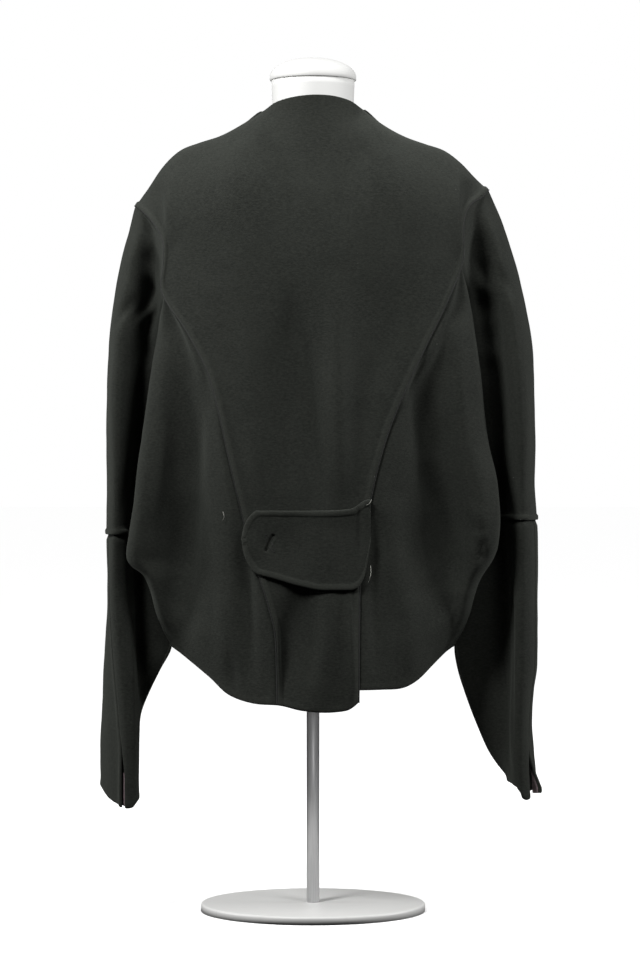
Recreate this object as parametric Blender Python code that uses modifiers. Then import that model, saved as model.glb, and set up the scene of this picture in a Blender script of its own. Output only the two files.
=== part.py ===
"""Collarless wool jacket on a limbless dress form.

The jacket's back faces -Y, +X is the wearer's right and +Z is up. The form's pole stands on the origin.
Tables are in millimetres, one row for each level. Each piece of cloth is a grid laid over points read from
smooth curves through those rows, extruded inward through the wall of the cloth.
"""
import math

import bmesh
import bpy
from mathutils import Vector

MM = 0.001

# Cloth and seams
CLOTH_WALL = 3.0 * MM
SEAM_GAP = 0.3 * MM
LIKE_DIRECTIONS = 0.9
SEWN_ALONG = 0.5
HEM_CORNER_INSET = (3.5 * MM, 6.0 * MM)
SHARED_PLACE = 0.1 * MM
PANEL_TIP_SHARE = 0.14
PANEL_TIP_INSET = 0.05
TIP_DROP = 2.0 * MM
TIP_OUTSET = 1.5 * MM
TIP_MARKS = (0.35, 0.75)
TIP_STEPS = (3, 4, 3, 3, 4, 3)
LAP_CLEARANCE = 1.6 * MM
LAP_HOLD = 26.0 * MM
LAP_EASE = 45.0 * MM

# Body of the jacket
BODY_HALF_WIDTH = 250.0 * MM
BODY_SQUARENESS = 3.2
SHOULDER_ROLL = 100.0 * MM
NECK_SLOPE = 190.0 * MM
NECK_HALF_WIDTH = 62.0 * MM
FRONT_NECK_HEIGHT = 930.0 * MM
SIDE_NECK_HEIGHT = 1000.0 * MM
FRONT_OVERLAP = 25.0 * MM
FRONT_HEM_HEIGHT = 300.0 * MM
FRONT_TURN = 120.0 * MM

# Levels of the nets, as heights along the left and right armhole seam
SHOULDER_ROWS = (0.0, 0.04, 0.12, 0.26, 0.45, 0.7, 1.0)
SHOULDER_COLUMNS = (0.0, 0.16, 0.33, 0.5, 0.65, 0.78, 0.9, 1.0)
NECK_COLUMNS = (-1.0, -0.75, -0.4, 0.0, 0.4, 0.75, 1.0)
SLEEVE_STEPS = (2, 3, 2, 2, 2, 4, 3, 2)
LOWER_BACK_SPANS = 4
PRINCESS_FOOT = {-1: 265.0 * MM, 1: 268.0 * MM}
SIDE_HEM_HEIGHT = 328.0 * MM
HEM_REACH = 120.0 * MM

# Dress form
POLE_RADIUS = 8.0 * MM
CAP_RADIUS = 54.0 * MM
BASE_RADIUS = 140.0 * MM
BASE_HEIGHT = 10.0 * MM
TORSO_FOOT = 352.0 * MM
NECK_TOP = 1036.0 * MM


def table(names, *rows):
    """Turn rows of millimetre values into one list in metres for each named column."""
    return {name: [value * MM for value in column] for name, column in zip(names.split(), zip(*rows))}


# Top outline of the jacket from behind: neckline, shoulders and armhole tips
OUTLINE = table(
    "x z",
    (-222, 880), (-204, 905), (-191, 924), (-176, 944), (-148, 957), (-110, 970), (-81, 987),
    (-62, 999), (-50, 1004), (-30, 1009), (0, 1012), (30, 1011), (50, 1006), (64, 1000),
    (84, 984), (121, 964), (165, 949), (187, 932), (205, 913), (219, 900))

# Depth of the back at its middle, and of the fronts, behind and before the pole
BODY_DEPTH = table(
    "z back front",
    (1015, 62, 30), (980, 86, 45), (940, 106, 72), (900, 118, 92), (850, 126, 108), (800, 129, 116),
    (700, 131, 120), (600, 132, 122), (520, 130, 120), (460, 126, 118), (400, 129, 118), (250, 134, 122))

# Seam between the centre back and the side panels, with the armhole seam above it
BACK_SEAM = {
    -1: table(
        "z x",
        (880, -222), (868, -208), (853, -195), (839, -186), (826, -182), (777, -182), (768, -184),
        (714, -150), (653, -121), (604, -110), (538, -95), (492, -84), (426, -66), (386, -53),
        (344, -44), (265, -42)),
    1: table(
        "z x",
        (900, 219), (887, 207), (879, 196), (870, 188), (851, 184), (806, 183), (739, 155), (665, 120),
        (610, 96), (556, 79), (513, 69), (412, 56), (268, 55))}
ARMHOLE_FOOT = {-1: 768.0 * MM, 1: 806.0 * MM}
ARMHOLE_TIP = {-1: 880.0 * MM, 1: 900.0 * MM}

# Hem of the centre back and of the side panels
HEM = table(
    "x z",
    (-174, 330), (-161, 322), (-148, 312), (-135, 302), (-122, 292), (-112, 283), (-100, 274),
    (-80, 267), (-42, 265), (-9, 258), (15, 256), (39, 258), (55, 268), (60, 281), (98, 282), (110, 284),
    (118, 287), (128, 292), (139, 302), (150, 312), (160, 322), (172, 330))

# Side-back panel: hollow, lit ridge and the fold over the armhole
SIDE_BACK = {
    -1: table(
        "z hollow_x hollow_y ridge_x ridge_y edge_x edge_y",
        (768, -185, -68, -186, -66, -187, -62),
        (734, -172, -76, -184, -70, -189, -58),
        (704, -152, -92, -186, -76, -194, -58),
        (636, -162, -84, -197, -80, -204, -62),
        (574, -165, -77, -204, -86, -213, -68),
        (513, -160, -72, -210, -92, -220, -74),
        (471, -159, -68, -215, -92, -226, -74),
        (450, -160, -66, -216, -90, -229, -72),
        (438, -162, -65, -214, -86, -229, -68),
        (430, -163, -65, -207, -84, -222, -66),
        (420, -165, -65, -199, -82, -209, -64),
        (402, -168, -66, -193, -78, -201, -60),
        (365, -171, -66, -184, -66, -191, -50),
        (328, -165, -52, -170, -46, -174, -32)),
    1: table(
        "z hollow_x hollow_y ridge_x ridge_y edge_x edge_y",
        (806, 184, -70, 185, -68, 186, -64),
        (759, 176, -80, 188, -72, 193, -58),
        (698, 158, -96, 193, -82, 203, -62),
        (636, 144, -96, 196, -84, 209, -64),
        (574, 154, -84, 200, -88, 217, -66),
        (520, 161, -74, 209, -92, 229, -72),
        (500, 163, -71, 210, -93, 230, -74),
        (476, 165, -68, 207, -92, 228, -74),
        (454, 166, -66, 204, -90, 226, -72),
        (441, 168, -65, 200, -86, 221, -68),
        (429, 170, -65, 197, -84, 214, -66),
        (416, 171, -65, 192, -80, 206, -62),
        (402, 172, -65, 189, -76, 201, -60),
        (365, 172, -64, 183, -64, 191, -50),
        (328, 164, -52, 169, -46, 173, -32))}

# Deep armhole seam, and below the side hem the underarm seam: back and front halves of the sleeve meet
ARMHOLE = {
    -1: table(
        "z x back front",
        (768, -187, -58, 60), (734, -190, -42, 60), (704, -194, -26, 60), (636, -200, -12, 60),
        (574, -205, -8, 60), (513, -209, -5, 58), (471, -211, -3, 54), (438, -210, 0, 50),
        (420, -203, 2, 46), (402, -197, 4, 42), (365, -187, 8, 32), (328, -177, 16, 16),
        (309, -186, 16, 16), (287, -198, 15, 15), (265, -207, 12, 12), (243, -216, 10, 10),
        (228, -219, 8, 8), (132, -219, 8, 8)),
    1: table(
        "z x back front",
        (806, 187, -58, 60), (759, 192, -38, 60), (698, 199, -22, 60), (636, 206, -10, 60),
        (574, 211, -7, 60), (513, 217, -5, 58), (488, 219, -3, 54), (454, 217, 0, 50),
        (429, 208, 2, 46), (402, 197, 4, 42), (365, 187, 8, 32), (328, 177, 16, 16),
        (305, 180, 16, 16), (287, 185, 16, 16), (262, 193, 16, 16), (236, 203, 14, 14),
        (211, 213, 12, 12), (192, 222, 10, 10), (171, 231, 8, 8), (156, 240, 6, 6), (142, 243, 5, 5))}

# Whole sleeve, back to front: roll into the armhole, fold, back, lengthwise seam, side, front, tuck
SLEEVE = {
    -1: table(
        "z roll_x roll_y fold_x fold_y back_x back_y seam_x seam_y side_x front_x front_y tuck_x tuck_y",
        (868, -211, -22, -213, -20, -215, -18, -220, -8, -222, -215, 18, -211, 22),
        (852, -201, -44, -208, -42, -214, -36, -224, -16, -229, -214, 36, -201, 44),
        (826, -196, -48, -208, -44, -220, -42, -232, -20, -236, -218, 48, -200, 54),
        (800, -197, -38, -210, -42, -226, -48, -238, -22, -242, -224, 62, -204, 62),
        (768, -199, -28, -213, -44, -231, -54, -244, -26, -248, -229, 74, -207, 68),
        (704, -206, -22, -220, -46, -239, -60, -251, -28, -255, -236, 84, -212, 74),
        (636, -214, -16, -225, -46, -242, -62, -254, -28, -258, -240, 92, -216, 78),
        (574, -218, -14, -229, -44, -243, -60, -254, -28, -258, -241, 92, -218, 78),
        (513, -221, -12, -232, -42, -244, -56, -254, -28, -258, -242, 90, -221, 76),
        (471, -223, -8, -233, -42, -245, -54, -254, -30, -258, -243, 88, -224, 72),
        (431, -222, -2, -233, -42, -245, -53, -253, -34, -257, -243, 84, -224, 66),
        (388, -219, 2, -231, -42, -243, -53, -252, -36, -257, -243, 78, -224, 60),
        (338, -214, 2, -226, -42, -239, -53, -249, -40, -261, -244, 74, -222, 54),
        (300, -212, -4, -223, -42, -236, -53, -246, -42, -263, -245, 70, -222, 48),
        (262, -215, -10, -222, -44, -232, -54, -242, -46, -264, -244, 66, -222, 44),
        (229, -216, -16, -220, -46, -229, -55, -239, -49, -266, -244, 64, -222, 42),
        (180, -216, -20, -219, -46, -226, -54, -234, -51, -267, -244, 62, -221, 40),
        (132, -216, -20, -219, -45, -226, -53, -233, -51, -267, -243, 60, -221, 38)),
    1: table(
        "z roll_x roll_y fold_x fold_y back_x back_y seam_x seam_y side_x front_x front_y tuck_x tuck_y",
        (892, 210, -22, 212, -20, 214, -18, 218, -8, 221, 214, 18, 210, 22),
        (879, 202, -40, 207, -38, 213, -34, 223, -16, 229, 213, 36, 202, 42),
        (851, 198, -50, 210, -46, 221, -42, 234, -20, 240, 222, 50, 204, 54),
        (806, 200, -38, 216, -44, 233, -50, 248, -22, 254, 235, 66, 210, 64),
        (769, 203, -30, 221, -45, 241, -56, 257, -26, 263, 243, 76, 214, 68),
        (698, 213, -24, 233, -46, 252, -60, 269, -28, 275, 253, 84, 224, 74),
        (636, 221, -18, 238, -46, 256, -62, 272, -28, 277, 257, 92, 230, 78),
        (574, 226, -16, 241, -44, 258, -60, 272, -28, 278, 258, 92, 233, 78),
        (513, 231, -12, 245, -42, 260, -56, 273, -28, 278, 260, 90, 236, 76),
        (488, 232, -8, 246, -42, 261, -54, 275, -28, 280, 261, 88, 237, 72),
        (440, 231, -4, 246, -42, 261, -53, 276, -28, 281, 262, 84, 238, 66),
        (388, 229, -2, 246, -42, 261, -53, 276, -28, 281, 262, 78, 238, 60),
        (338, 229, -4, 246, -42, 261, -53, 276, -28, 281, 262, 74, 238, 54),
        (300, 232, -8, 246, -42, 260, -53, 275, -28, 280, 262, 70, 238, 50),
        (262, 236, -12, 246, -43, 258, -53, 270, -30, 275, 258, 66, 240, 46),
        (225, 240, -16, 246, -44, 257, -53, 268, -34, 274, 257, 64, 242, 44),
        (188, 243, -18, 248, -44, 257, -53, 268, -38, 278, 260, 62, 244, 42),
        (142, 246, -18, 250, -43, 258, -52, 270, -40, 281, 262, 60, 248, 40))}
ELBOW = {-1: 470.0 * MM, 1: 488.0 * MM}
CUFF = {-1: 132.0 * MM, 1: 142.0 * MM}
CUFF_REACH = 60.0 * MM

# Rise of the cuff's edge across the sleeve, from its inner to its outer side
CUFF_SHAPE = {
    -1: {"share": (0.0, 0.12, 0.25, 0.4, 0.75, 0.93, 1.0), "rise": (8, 1, 0, 2, 9, 18, 22)},
    1: {"share": (0.0, 0.25, 0.36, 0.5, 0.8, 1.0), "rise": (18, 13, 3, 0, 3, 8)}}
VENT_TOP = {-1: 206.0 * MM, 1: 200.0 * MM}
VENT_GAP = {-1: 4.0 * MM, 1: 3.0 * MM}
VENT_FLARE = {-1: 0.0, 1: 13.0 * MM}

# Front side of the body: soft ridge and fold before the armhole seam
FRONT_SIDE = table(
    "z ridge_x ridge_y edge_x edge_y",
    (806, 178, 72, 186, 68), (768, 172, 86, 187, 72), (704, 172, 98, 195, 80), (636, 176, 100, 204, 84),
    (574, 182, 100, 211, 84), (513, 188, 98, 217, 82), (471, 190, 96, 219, 80), (438, 188, 90, 216, 76),
    (402, 176, 82, 202, 66), (365, 166, 74, 189, 54), (328, 156, 66, 175, 34))

# Soft folds of the centre back: top and foot of each line, half width and depth
BACK_FOLDS = (
    {"top": (-38, 745), "foot": (-12, 505), "width": 30, "depth": 14},
    {"top": (28, 720), "foot": (30, 480), "width": 30, "depth": -6},
    {"top": (88, 800), "foot": (58, 590), "width": 26, "depth": 7},
    {"top": (-10, 400), "foot": (-30, 262), "width": 22, "depth": 8})

# Half-belt tab: its outline from behind, left round end first
TAB = table(
    "x top bottom",
    (-86, 468, 466), (-84, 480, 450), (-78, 492, 436), (-68, 500, 424), (-52, 500, 420), (-15, 500, 409),
    (15, 500, 404), (45, 502, 404), (54, 506, 407), (62, 512, 420), (70, 514, 462))
TAB_CLEARANCE = 2.0 * MM
FACING_START = {-1: -3.0 * MM, 1: 1.5 * MM}
FACING_COLUMNS = 3
FACING_WALL = 1.0 * MM
FACING_GAP = 0.7 * MM

# Torso of the dress form: half width and half depth at each level
TORSO = table(
    "z half_width half_depth",
    (1036, 52, 52), (1006, 51, 51), (996, 51, 47), (988, 53, 30), (976, 71, 28), (966, 97, 34),
    (957, 124, 43), (945, 147, 46), (926, 158, 52), (905, 164, 64), (870, 166, 80), (820, 162, 90),
    (760, 148, 92), (700, 138, 90), (640, 134, 88), (580, 140, 92), (500, 148, 98), (420, 146, 98),
    (370, 140, 92), (356, 120, 76), (352, 60, 40))


def reading(columns, name, place, along="z"):
    """Value of a named column at a place, on a smooth curve through the table's rows."""
    pairs = sorted(zip(columns[along], columns[name]))
    if place <= pairs[0][0]:
        return pairs[0][1]
    if place >= pairs[-1][0]:
        return pairs[-1][1]
    slopes = [(b[1] - a[1]) / (b[0] - a[0]) for a, b in zip(pairs, pairs[1:])]
    span = next(i for i in range(len(slopes)) if place <= pairs[i + 1][0])

    def tangent(i):
        """Slope at a row: none at a turning point, else the harmonic mean of its neighbours."""
        if i == 0 or i == len(slopes):
            return slopes[max(i - 1, 0)]
        before, after = slopes[i - 1], slopes[i]
        return 0.0 if before * after <= 0 else 2 * before * after / (before + after)

    (x0, y0), (x1, y1) = pairs[span], pairs[span + 1]
    width = x1 - x0
    t = (place - x0) / width
    return (y0 * (1 + 2 * t) * (1 - t) ** 2 + y1 * t * t * (3 - 2 * t)
            + width * (tangent(span) * t * (1 - t) ** 2 - tangent(span + 1) * t * t * (1 - t)))


def smooth_step(t):
    """Ease from 0 to 1."""
    t = min(max(t, 0.0), 1.0)
    return t * t * (3 - 2 * t)


def through(points, steps):
    """Points on a smooth curve through the given points, with a number of steps for each span."""
    knots = [0.0]
    for a, b in zip(points, points[1:]):
        knots.append(knots[-1] + max((b - a).length, 1e-6))
    tangents = []
    for i, point in enumerate(points):
        low, high = max(i - 1, 0), min(i + 1, len(points) - 1)
        tangents.append((points[high] - points[low]) / (knots[high] - knots[low]))
    path = [points[0].copy()]
    for i, count in enumerate(steps):
        width = knots[i + 1] - knots[i]
        for step in range(1, count + 1):
            t = step / count
            path.append(points[i] * ((1 + 2 * t) * (1 - t) ** 2) + points[i + 1] * (t * t * (3 - 2 * t))
                        + tangents[i] * (width * t * (1 - t) ** 2)
                        - tangents[i + 1] * (width * t * t * (1 - t)))
    return path


def fold_depth(x, z):
    """How far the soft folds of the centre back push its surface towards the form."""
    push = 0.0
    for fold in BACK_FOLDS:
        top_x, top_z = (value * MM for value in fold["top"])
        foot_x, foot_z = (value * MM for value in fold["foot"])
        along = (top_z - z) / (top_z - foot_z)
        if not 0.0 < along < 1.0:
            continue
        away = (x - top_x - (foot_x - top_x) * along) / (fold["width"] * MM)
        push += fold["depth"] * MM * math.exp(-away * away) * math.sin(math.pi * along) ** 0.8
    return push


def below(top, z):
    """How far a height lies below a top, and exactly nothing at the top itself."""
    return top - z if top - z > SHARED_PLACE / 100 else 0.0


def rounding(x, z):
    """Share of the full depth that the cloth has reached below the shoulder, from 0 to 1."""
    near_neck = 1.0 - smooth_step((abs(x) - 30 * MM) / (60 * MM))
    drop = below(reading(OUTLINE, "z", x, along="x"), z)
    reach = SHOULDER_ROLL + (NECK_SLOPE - SHOULDER_ROLL) * near_neck
    t = min(drop / reach, 1.0)
    roll = math.sqrt(1 - (1 - t) ** 2)
    slope = 1 - (1 - t) ** 1.8
    return roll + (slope - roll) * near_neck


def lateral(x):
    """Share of the middle depth that is left at a distance from the middle."""
    return 1.0 - (min(abs(x) / BODY_HALF_WIDTH, 1.0)) ** BODY_SQUARENESS


def back_point(x, z):
    """Point of the jacket's back as seen from behind at x and z."""
    neck = math.sqrt(max(NECK_HALF_WIDTH ** 2 - x * x, 0.0))
    full = reading(BODY_DEPTH, "back", z) * lateral(x)
    depth = neck + (max(full, neck) - neck) * rounding(x, z)
    return Vector((x, -depth + fold_depth(x, z), z))


def front_point(x, z):
    """Point of the jacket's front at x and z, behind the shoulder's own outline."""
    shoulder = reading(OUTLINE, "z", math.copysign(max(abs(x), NECK_HALF_WIDTH), x or 1.0), along="x")
    t = min(below(shoulder, z) / SHOULDER_ROLL, 1.0)
    depth = reading(BODY_DEPTH, "front", z) * lateral(x) * math.sqrt(1 - (1 - t) ** 2)
    return Vector((x, depth, z))


def blend(a, b, t):
    """Value or point part of the way from a to b."""
    return a + (b - a) * t


def seam_heights(side):
    """Heights of the net's rows along the armhole and princess seam, from the hem up to the tip."""
    lower = [blend(PRINCESS_FOOT[side], ARMHOLE_FOOT[side], t) for t in lower_levels(side)]
    upper = [blend(ARMHOLE_TIP[side], ARMHOLE_FOOT[side], t) for t in reversed(SHOULDER_ROWS[:-1])]
    return lower + upper


def lower_levels(side):
    """Rows from the side hem to the foot of the armhole seam, as shares of that height."""
    foot, top = SIDE_HEM_HEIGHT, ARMHOLE_FOOT[side]
    elbow = ELBOW[side]
    heights = [foot, 348 * MM, 370 * MM, 392 * MM, 408 * MM, 420 * MM, 430 * MM, 440 * MM, 454 * MM, elbow]
    upper_steps = 7
    heights += [blend(elbow, top, step / upper_steps) for step in range(1, upper_steps + 1)]
    return [(height - foot) / (top - foot) for height in heights]


def armhole_heights(side):
    """Heights of the rows along the deep armhole seam, from the side hem up."""
    return [blend(SIDE_HEM_HEIGHT, ARMHOLE_FOOT[side], t) for t in lower_levels(side)]


def seam_point(side, z):
    """Point on the back's armhole or princess seam."""
    return back_point(reading(BACK_SEAM[side], "x", z), z)


def front_armhole_point(side, z):
    """Point on the front's armhole seam, above the deep armhole."""
    return front_point(reading(BACK_SEAM[side], "x", z), z)


def deep_point(side, z, half):
    """Point on the deep armhole seam, on its back or front half."""
    return Vector((reading(ARMHOLE[side], "x", z), reading(ARMHOLE[side], half, z), z))


def section_point(columns, name, z, shift=0.0):
    """Point of a table with x and y columns of one name."""
    return Vector((reading(columns, name + "_x", z) + shift, reading(columns, name + "_y", z), z))


def new_material(name, colour, roughness, metallic=0.0):
    """Plain material with the photo's colour."""
    material = bpy.data.materials.new(name)
    material.use_nodes = True
    shader = material.node_tree.nodes["Principled BSDF"]
    shader.inputs["Base Color"].default_value = (*colour, 1.0)
    shader.inputs["Roughness"].default_value = roughness
    shader.inputs["Metallic"].default_value = metallic
    return material


def keep(name, mesh, material):
    """Put a mesh in the jacket's collection as one named object with its material."""
    piece = bpy.data.objects.new(name, mesh)
    mesh.materials.append(material)
    parts.objects.link(piece)
    for face in mesh.polygons:
        face.use_smooth = True
    return piece


def wall_directions(net):
    """Direction through the wall, from the outer side inward, at each point of a net."""
    last_row, last = len(net) - 1, len(net[0]) - 1
    rows = []
    for j in range(last_row + 1):
        row = []
        for i in range(last + 1):
            across = net[j][min(i + 1, last)] - net[j][max(i - 1, 0)]
            up = net[min(j + 1, last_row)][i] - net[max(j - 1, 0)][i]
            row.append(up.cross(across).normalized())
        rows.append(row)
    return rows


def place_key(point):
    """Name for a place, the same for points that two pieces share at a seam."""
    return tuple(round(value / SHARED_PLACE + 0.137) for value in point)


def edge_places(net):
    """Each point on a net's border, once for each border it is on: way into the piece, way along."""
    last_row, last = len(net) - 1, len(net[0]) - 1
    for j in range(last_row + 1):
        for i, inner in ((0, 1), (last, last - 1)):
            along = net[min(j + 1, last_row)][i] - net[max(j - 1, 0)][i]
            yield "side", j, i, (net[j][inner] - net[j][i]).normalized(), along.normalized()
    for i in range(last + 1):
        for j, inner in ((0, 1), (last_row, last_row - 1)):
            along = net[j][min(i + 1, last)] - net[j][max(i - 1, 0)]
            yield "end", j, i, (net[inner][i] - net[j][i]).normalized(), along.normalized()


class Piece:
    """One cut piece of cloth: its net of outer points, running round the body from the wearer's left."""

    def __init__(self, name, net, material, flip=False, wall=CLOTH_WALL):
        self.name, self.material, self.wall = name, material, wall
        self.net = [row[::-1] for row in net] if flip else net
        self.inward = wall_directions(self.net)

    def make(self):
        """Lay a grid over the net and extrude it through the wall."""
        across, up = len(self.net[0]) - 1, len(self.net) - 1
        sheet = bmesh.new()
        bmesh.ops.create_grid(sheet, x_segments=across, y_segments=up, size=0.5)
        spots = {}
        for corner in sheet.verts:
            spots[corner] = (round((corner.co.y + 0.5) * up), round((corner.co.x + 0.5) * across))
        for corner, (row, column) in spots.items():
            corner.co = self.net[row][column]
        outer = {place_key(self.net[row][column]): (row, column) for row, column in spots.values()}
        made = bmesh.ops.extrude_face_region(sheet, geom=sheet.faces[:], use_keep_orig=True)
        for corner in [item for item in made["geom"] if isinstance(item, bmesh.types.BMVert)]:
            row, column = outer[place_key(corner.co)]
            corner.co += self.inward[row][column] * self.wall
        bmesh.ops.recalc_face_normals(sheet, faces=sheet.faces[:])
        bmesh.ops.triangulate(sheet, faces=sheet.faces[:], quad_method="SHORT_EDGE")
        mesh = bpy.data.meshes.new(self.name)
        sheet.to_mesh(mesh)
        sheet.free()
        return keep(self.name, mesh, self.material)


def common_direction(places):
    """Wall direction at a seam point: the mean of the unlike directions of the pieces there."""
    unlike = []
    for piece, border, row, column, into, along in places:
        if all(piece.inward[row][column].dot(other) < LIKE_DIRECTIONS for other in unlike):
            unlike.append(piece.inward[row][column].copy())
    return sum(unlike, Vector()).normalized()


def way_apart(place, places, direction):
    """Way in which a piece draws back from the pieces sewn to one of its borders."""
    piece, border, row, column, into, along = place
    away = Vector()
    for other in places:
        if other[0] is not piece and abs(other[5].dot(along)) > SEWN_ALONG:
            step = into - other[4]
            step -= direction * step.dot(direction)
            away += (step - along * step.dot(along)).normalized()
    return away.normalized()


def sew(pieces):
    """Give pieces that meet at a seam one wall direction there, and part them by the seam gap."""
    shared = {}
    for piece in pieces:
        for border, row, column, into, along in edge_places(piece.net):
            place = (piece, border, row, column, into, along)
            shared.setdefault(place_key(piece.net[row][column]), []).append(place)
    for places in shared.values():
        if len({place[0].name for place in places}) < 2:
            continue
        direction = common_direction(places)
        steps = [way_apart(place, places, direction) for place in places]
        for (piece, border, row, column, into, along), step in zip(places, steps):
            piece.inward[row][column] = direction
            piece.net[row][column] = piece.net[row][column] + step * (SEAM_GAP / 2)


def back_columns(start, end):
    """Places of the centre back's columns between its side edges, closest at the neck and tips."""
    left = [blend(-NECK_HALF_WIDTH, start, share) for share in reversed(SHOULDER_COLUMNS[1:])]
    neck = [NECK_HALF_WIDTH * share for share in NECK_COLUMNS]
    right = [blend(NECK_HALF_WIDTH, end, share) for share in SHOULDER_COLUMNS[1:]]
    return left + neck + right


def back_centre():
    """Centre back: hem to neckline and shoulders, between the princess and armhole seams."""
    left, right = seam_heights(-1), seam_heights(1)
    crown = back_columns(BACK_SEAM[-1]["x"][0], BACK_SEAM[1]["x"][0])
    shares = [(x - crown[0]) / (crown[-1] - crown[0]) for x in crown]
    hem = [blend(BACK_SEAM[-1]["x"][-1], BACK_SEAM[1]["x"][-1], share) for share in shares]
    rows = []
    for low, high in zip(left, right):
        start, end = reading(BACK_SEAM[-1], "x", low), reading(BACK_SEAM[1], "x", high)
        row = []
        for share, hem_x, crown_x in zip(shares, hem, crown):
            foot, top = reading(HEM, "z", hem_x, along="x"), reading(OUTLINE, "z", crown_x, along="x")
            left_up = (low - left[0]) / (left[-1] - left[0])
            right_up = (high - right[0]) / (right[-1] - right[0])
            up = blend(left_up, right_up, share)
            row.append(back_point(blend(start, end, share), blend(foot, top, up)))
        row[0], row[-1] = seam_point(-1, low), seam_point(1, high)
        rows.append(row)
    return Piece("back_centre", rows, wool)


def side_back(side, name):
    """Side-back panel: from the princess seam over its fold into the deep armhole."""
    seam_z, deep_z = seam_heights(side), armhole_heights(side)
    columns = ("hollow", "ridge", "edge")
    rows = []
    for low, deep in zip(seam_z, deep_z):
        seam = seam_point(side, low)
        t = (deep - deep_z[0]) / (deep_z[-1] - deep_z[0])
        points = [seam]
        for column in columns:
            z = deep - (1 - t) * (deep_z[0] - hem_height(side, column))
            point = section_point(SIDE_BACK[side], column, max(z, SIDE_HEM_HEIGHT))
            point.z = z
            points.append(point)
        middle = blend(seam, points[1], 0.5)
        middle.y = blend(seam.y, points[1].y, 0.32)
        points.insert(1, middle)
        points.append(deep_point(side, deep, "back"))
        if not rows:
            points[-1] -= Vector((side * HEM_CORNER_INSET[0], HEM_CORNER_INSET[1], 0.0))
        rows.append(through(points, (2, 3, 3, 2, 4)))
    follow_hem(rows, deep_z)
    rows[-1] = panel_tip(side, rows[-2])
    piece = Piece(name, rows, wool, flip=side < 0)
    piece.inward[-1] = [Vector((-side * 0.83, 0.53, 0.0)).normalized()] * len(rows[-1])
    return piece


def follow_hem(rows, heights):
    """Bring a side panel's foot to the hem's curve, and the rows above it by less and less."""
    shifts = [reading(HEM, "z", point.x, along="x") - point.z for point in rows[0]]
    shifts[0] = shifts[-1] = 0.0
    for row, height in zip(rows, heights):
        share = 1.0 - smooth_step((height - heights[0]) / HEM_REACH)
        for point, shift in zip(row, shifts):
            point.z += shift * share


def panel_tip(side, next_row):
    """Short top edge of a side panel, where its seams run together under the centre back."""
    top = seam_point(side, ARMHOLE_FOOT[side])
    start, end = blend(top, next_row[0], PANEL_TIP_SHARE), blend(top, next_row[-1], PANEL_TIP_SHARE)
    inset = (end - start) * PANEL_TIP_INSET
    count = len(next_row) - 1
    return [blend(start + inset, end - inset, i / count) for i in range(count + 1)]


def hem_height(side, column):
    """Height of the side panel's hem below one of its columns."""
    return reading(HEM, "z", reading(SIDE_BACK[side], column + "_x", SIDE_HEM_HEIGHT), along="x")


def sleeve_section(side, z, back_end, front_end):
    """Control points of the sleeve at one height, from its back seam to its front seam."""
    columns = SLEEVE[side]
    points = [back_end]
    points += [section_point(columns, column, z) for column in ("roll", "fold", "back", "seam")]
    points.append(Vector((reading(columns, "side_x", z), 14 * MM, z)))
    points += [section_point(columns, column, z) for column in ("front", "tuck")]
    points.append(front_end)
    return points


def sleeve_upper(side, name):
    """Upper sleeve: from the armhole seams round the outside, tip to elbow seam."""
    heights = [z for z in armhole_heights(side)[:-1] if z > ELBOW[side] - 1e-6]
    heights += seam_heights(side)[len(lower_levels(side)) - 1:-2]
    rows = []
    for z in heights:
        if z > ARMHOLE_FOOT[side] - 1e-6:
            back_end, front_end = seam_point(side, z), front_armhole_point(side, z)
        else:
            back_end, front_end = deep_point(side, z, "back"), deep_point(side, z, "front")
        if z == heights[-1]:
            rows.append(tip_row(side, z, back_end, front_end))
        else:
            rows.append(through(sleeve_section(side, z, back_end, front_end), SLEEVE_STEPS))
    piece = Piece(name, rows, wool, flip=side < 0)
    for column in range(1, len(rows[-1]) - 1):
        piece.inward[-1][column] = Vector((-side * 0.6, 0.0, -0.8))
    return piece


def tip_row(side, z, back_end, front_end):
    """Top edge of the sleeve, just under the shoulder's end."""
    away = Vector((side * TIP_OUTSET, 0.0, -TIP_DROP))
    marks = [blend(z, ARMHOLE_TIP[side], share) for share in TIP_MARKS]
    top = Vector((BACK_SEAM[side]["x"][0], 0.0, ARMHOLE_TIP[side])) + away
    behind = [seam_point(side, mark) + away for mark in marks]
    before = [front_armhole_point(side, mark) + away for mark in reversed(marks)]
    return through([back_end] + behind + [top] + before + [front_end], TIP_STEPS)


def lower_sleeve(side, name, half):
    """Back or front piece of the lower sleeve, from the elbow seam to the cuff."""
    heights = [CUFF[side], 150 * MM, 175 * MM, VENT_TOP[side], 228 * MM, 250 * MM, 275 * MM, 300 * MM]
    heights += [z for z in armhole_heights(side) if z < ELBOW[side] + 1e-6]
    rows = []
    for z in heights:
        points = sleeve_section(side, z, deep_point(side, z, "back"), deep_point(side, z, "front"))
        opened = smooth_step((VENT_TOP[side] - z) / (25 * MM)) * VENT_GAP[side] / 2
        flare = VENT_FLARE[side] * smooth_step((VENT_TOP[side] - z) / (50 * MM))
        seam = points[LOWER_BACK_SPANS]
        along = (points[LOWER_BACK_SPANS + 1] - seam).normalized()
        row = through(points, SLEEVE_STEPS)
        middle = sum(SLEEVE_STEPS[:LOWER_BACK_SPANS])
        if half == "back":
            row = row[:middle + 1]
            row[-1] = seam - along * opened
        else:
            row = row[middle:]
            row[0] = seam + along * opened + Vector((side * flare, 0.0, 0.0))
        rows.append(row)
    shape_cuff(side, rows, heights)
    return Piece(name, rows, wool, flip=side < 0)


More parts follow.
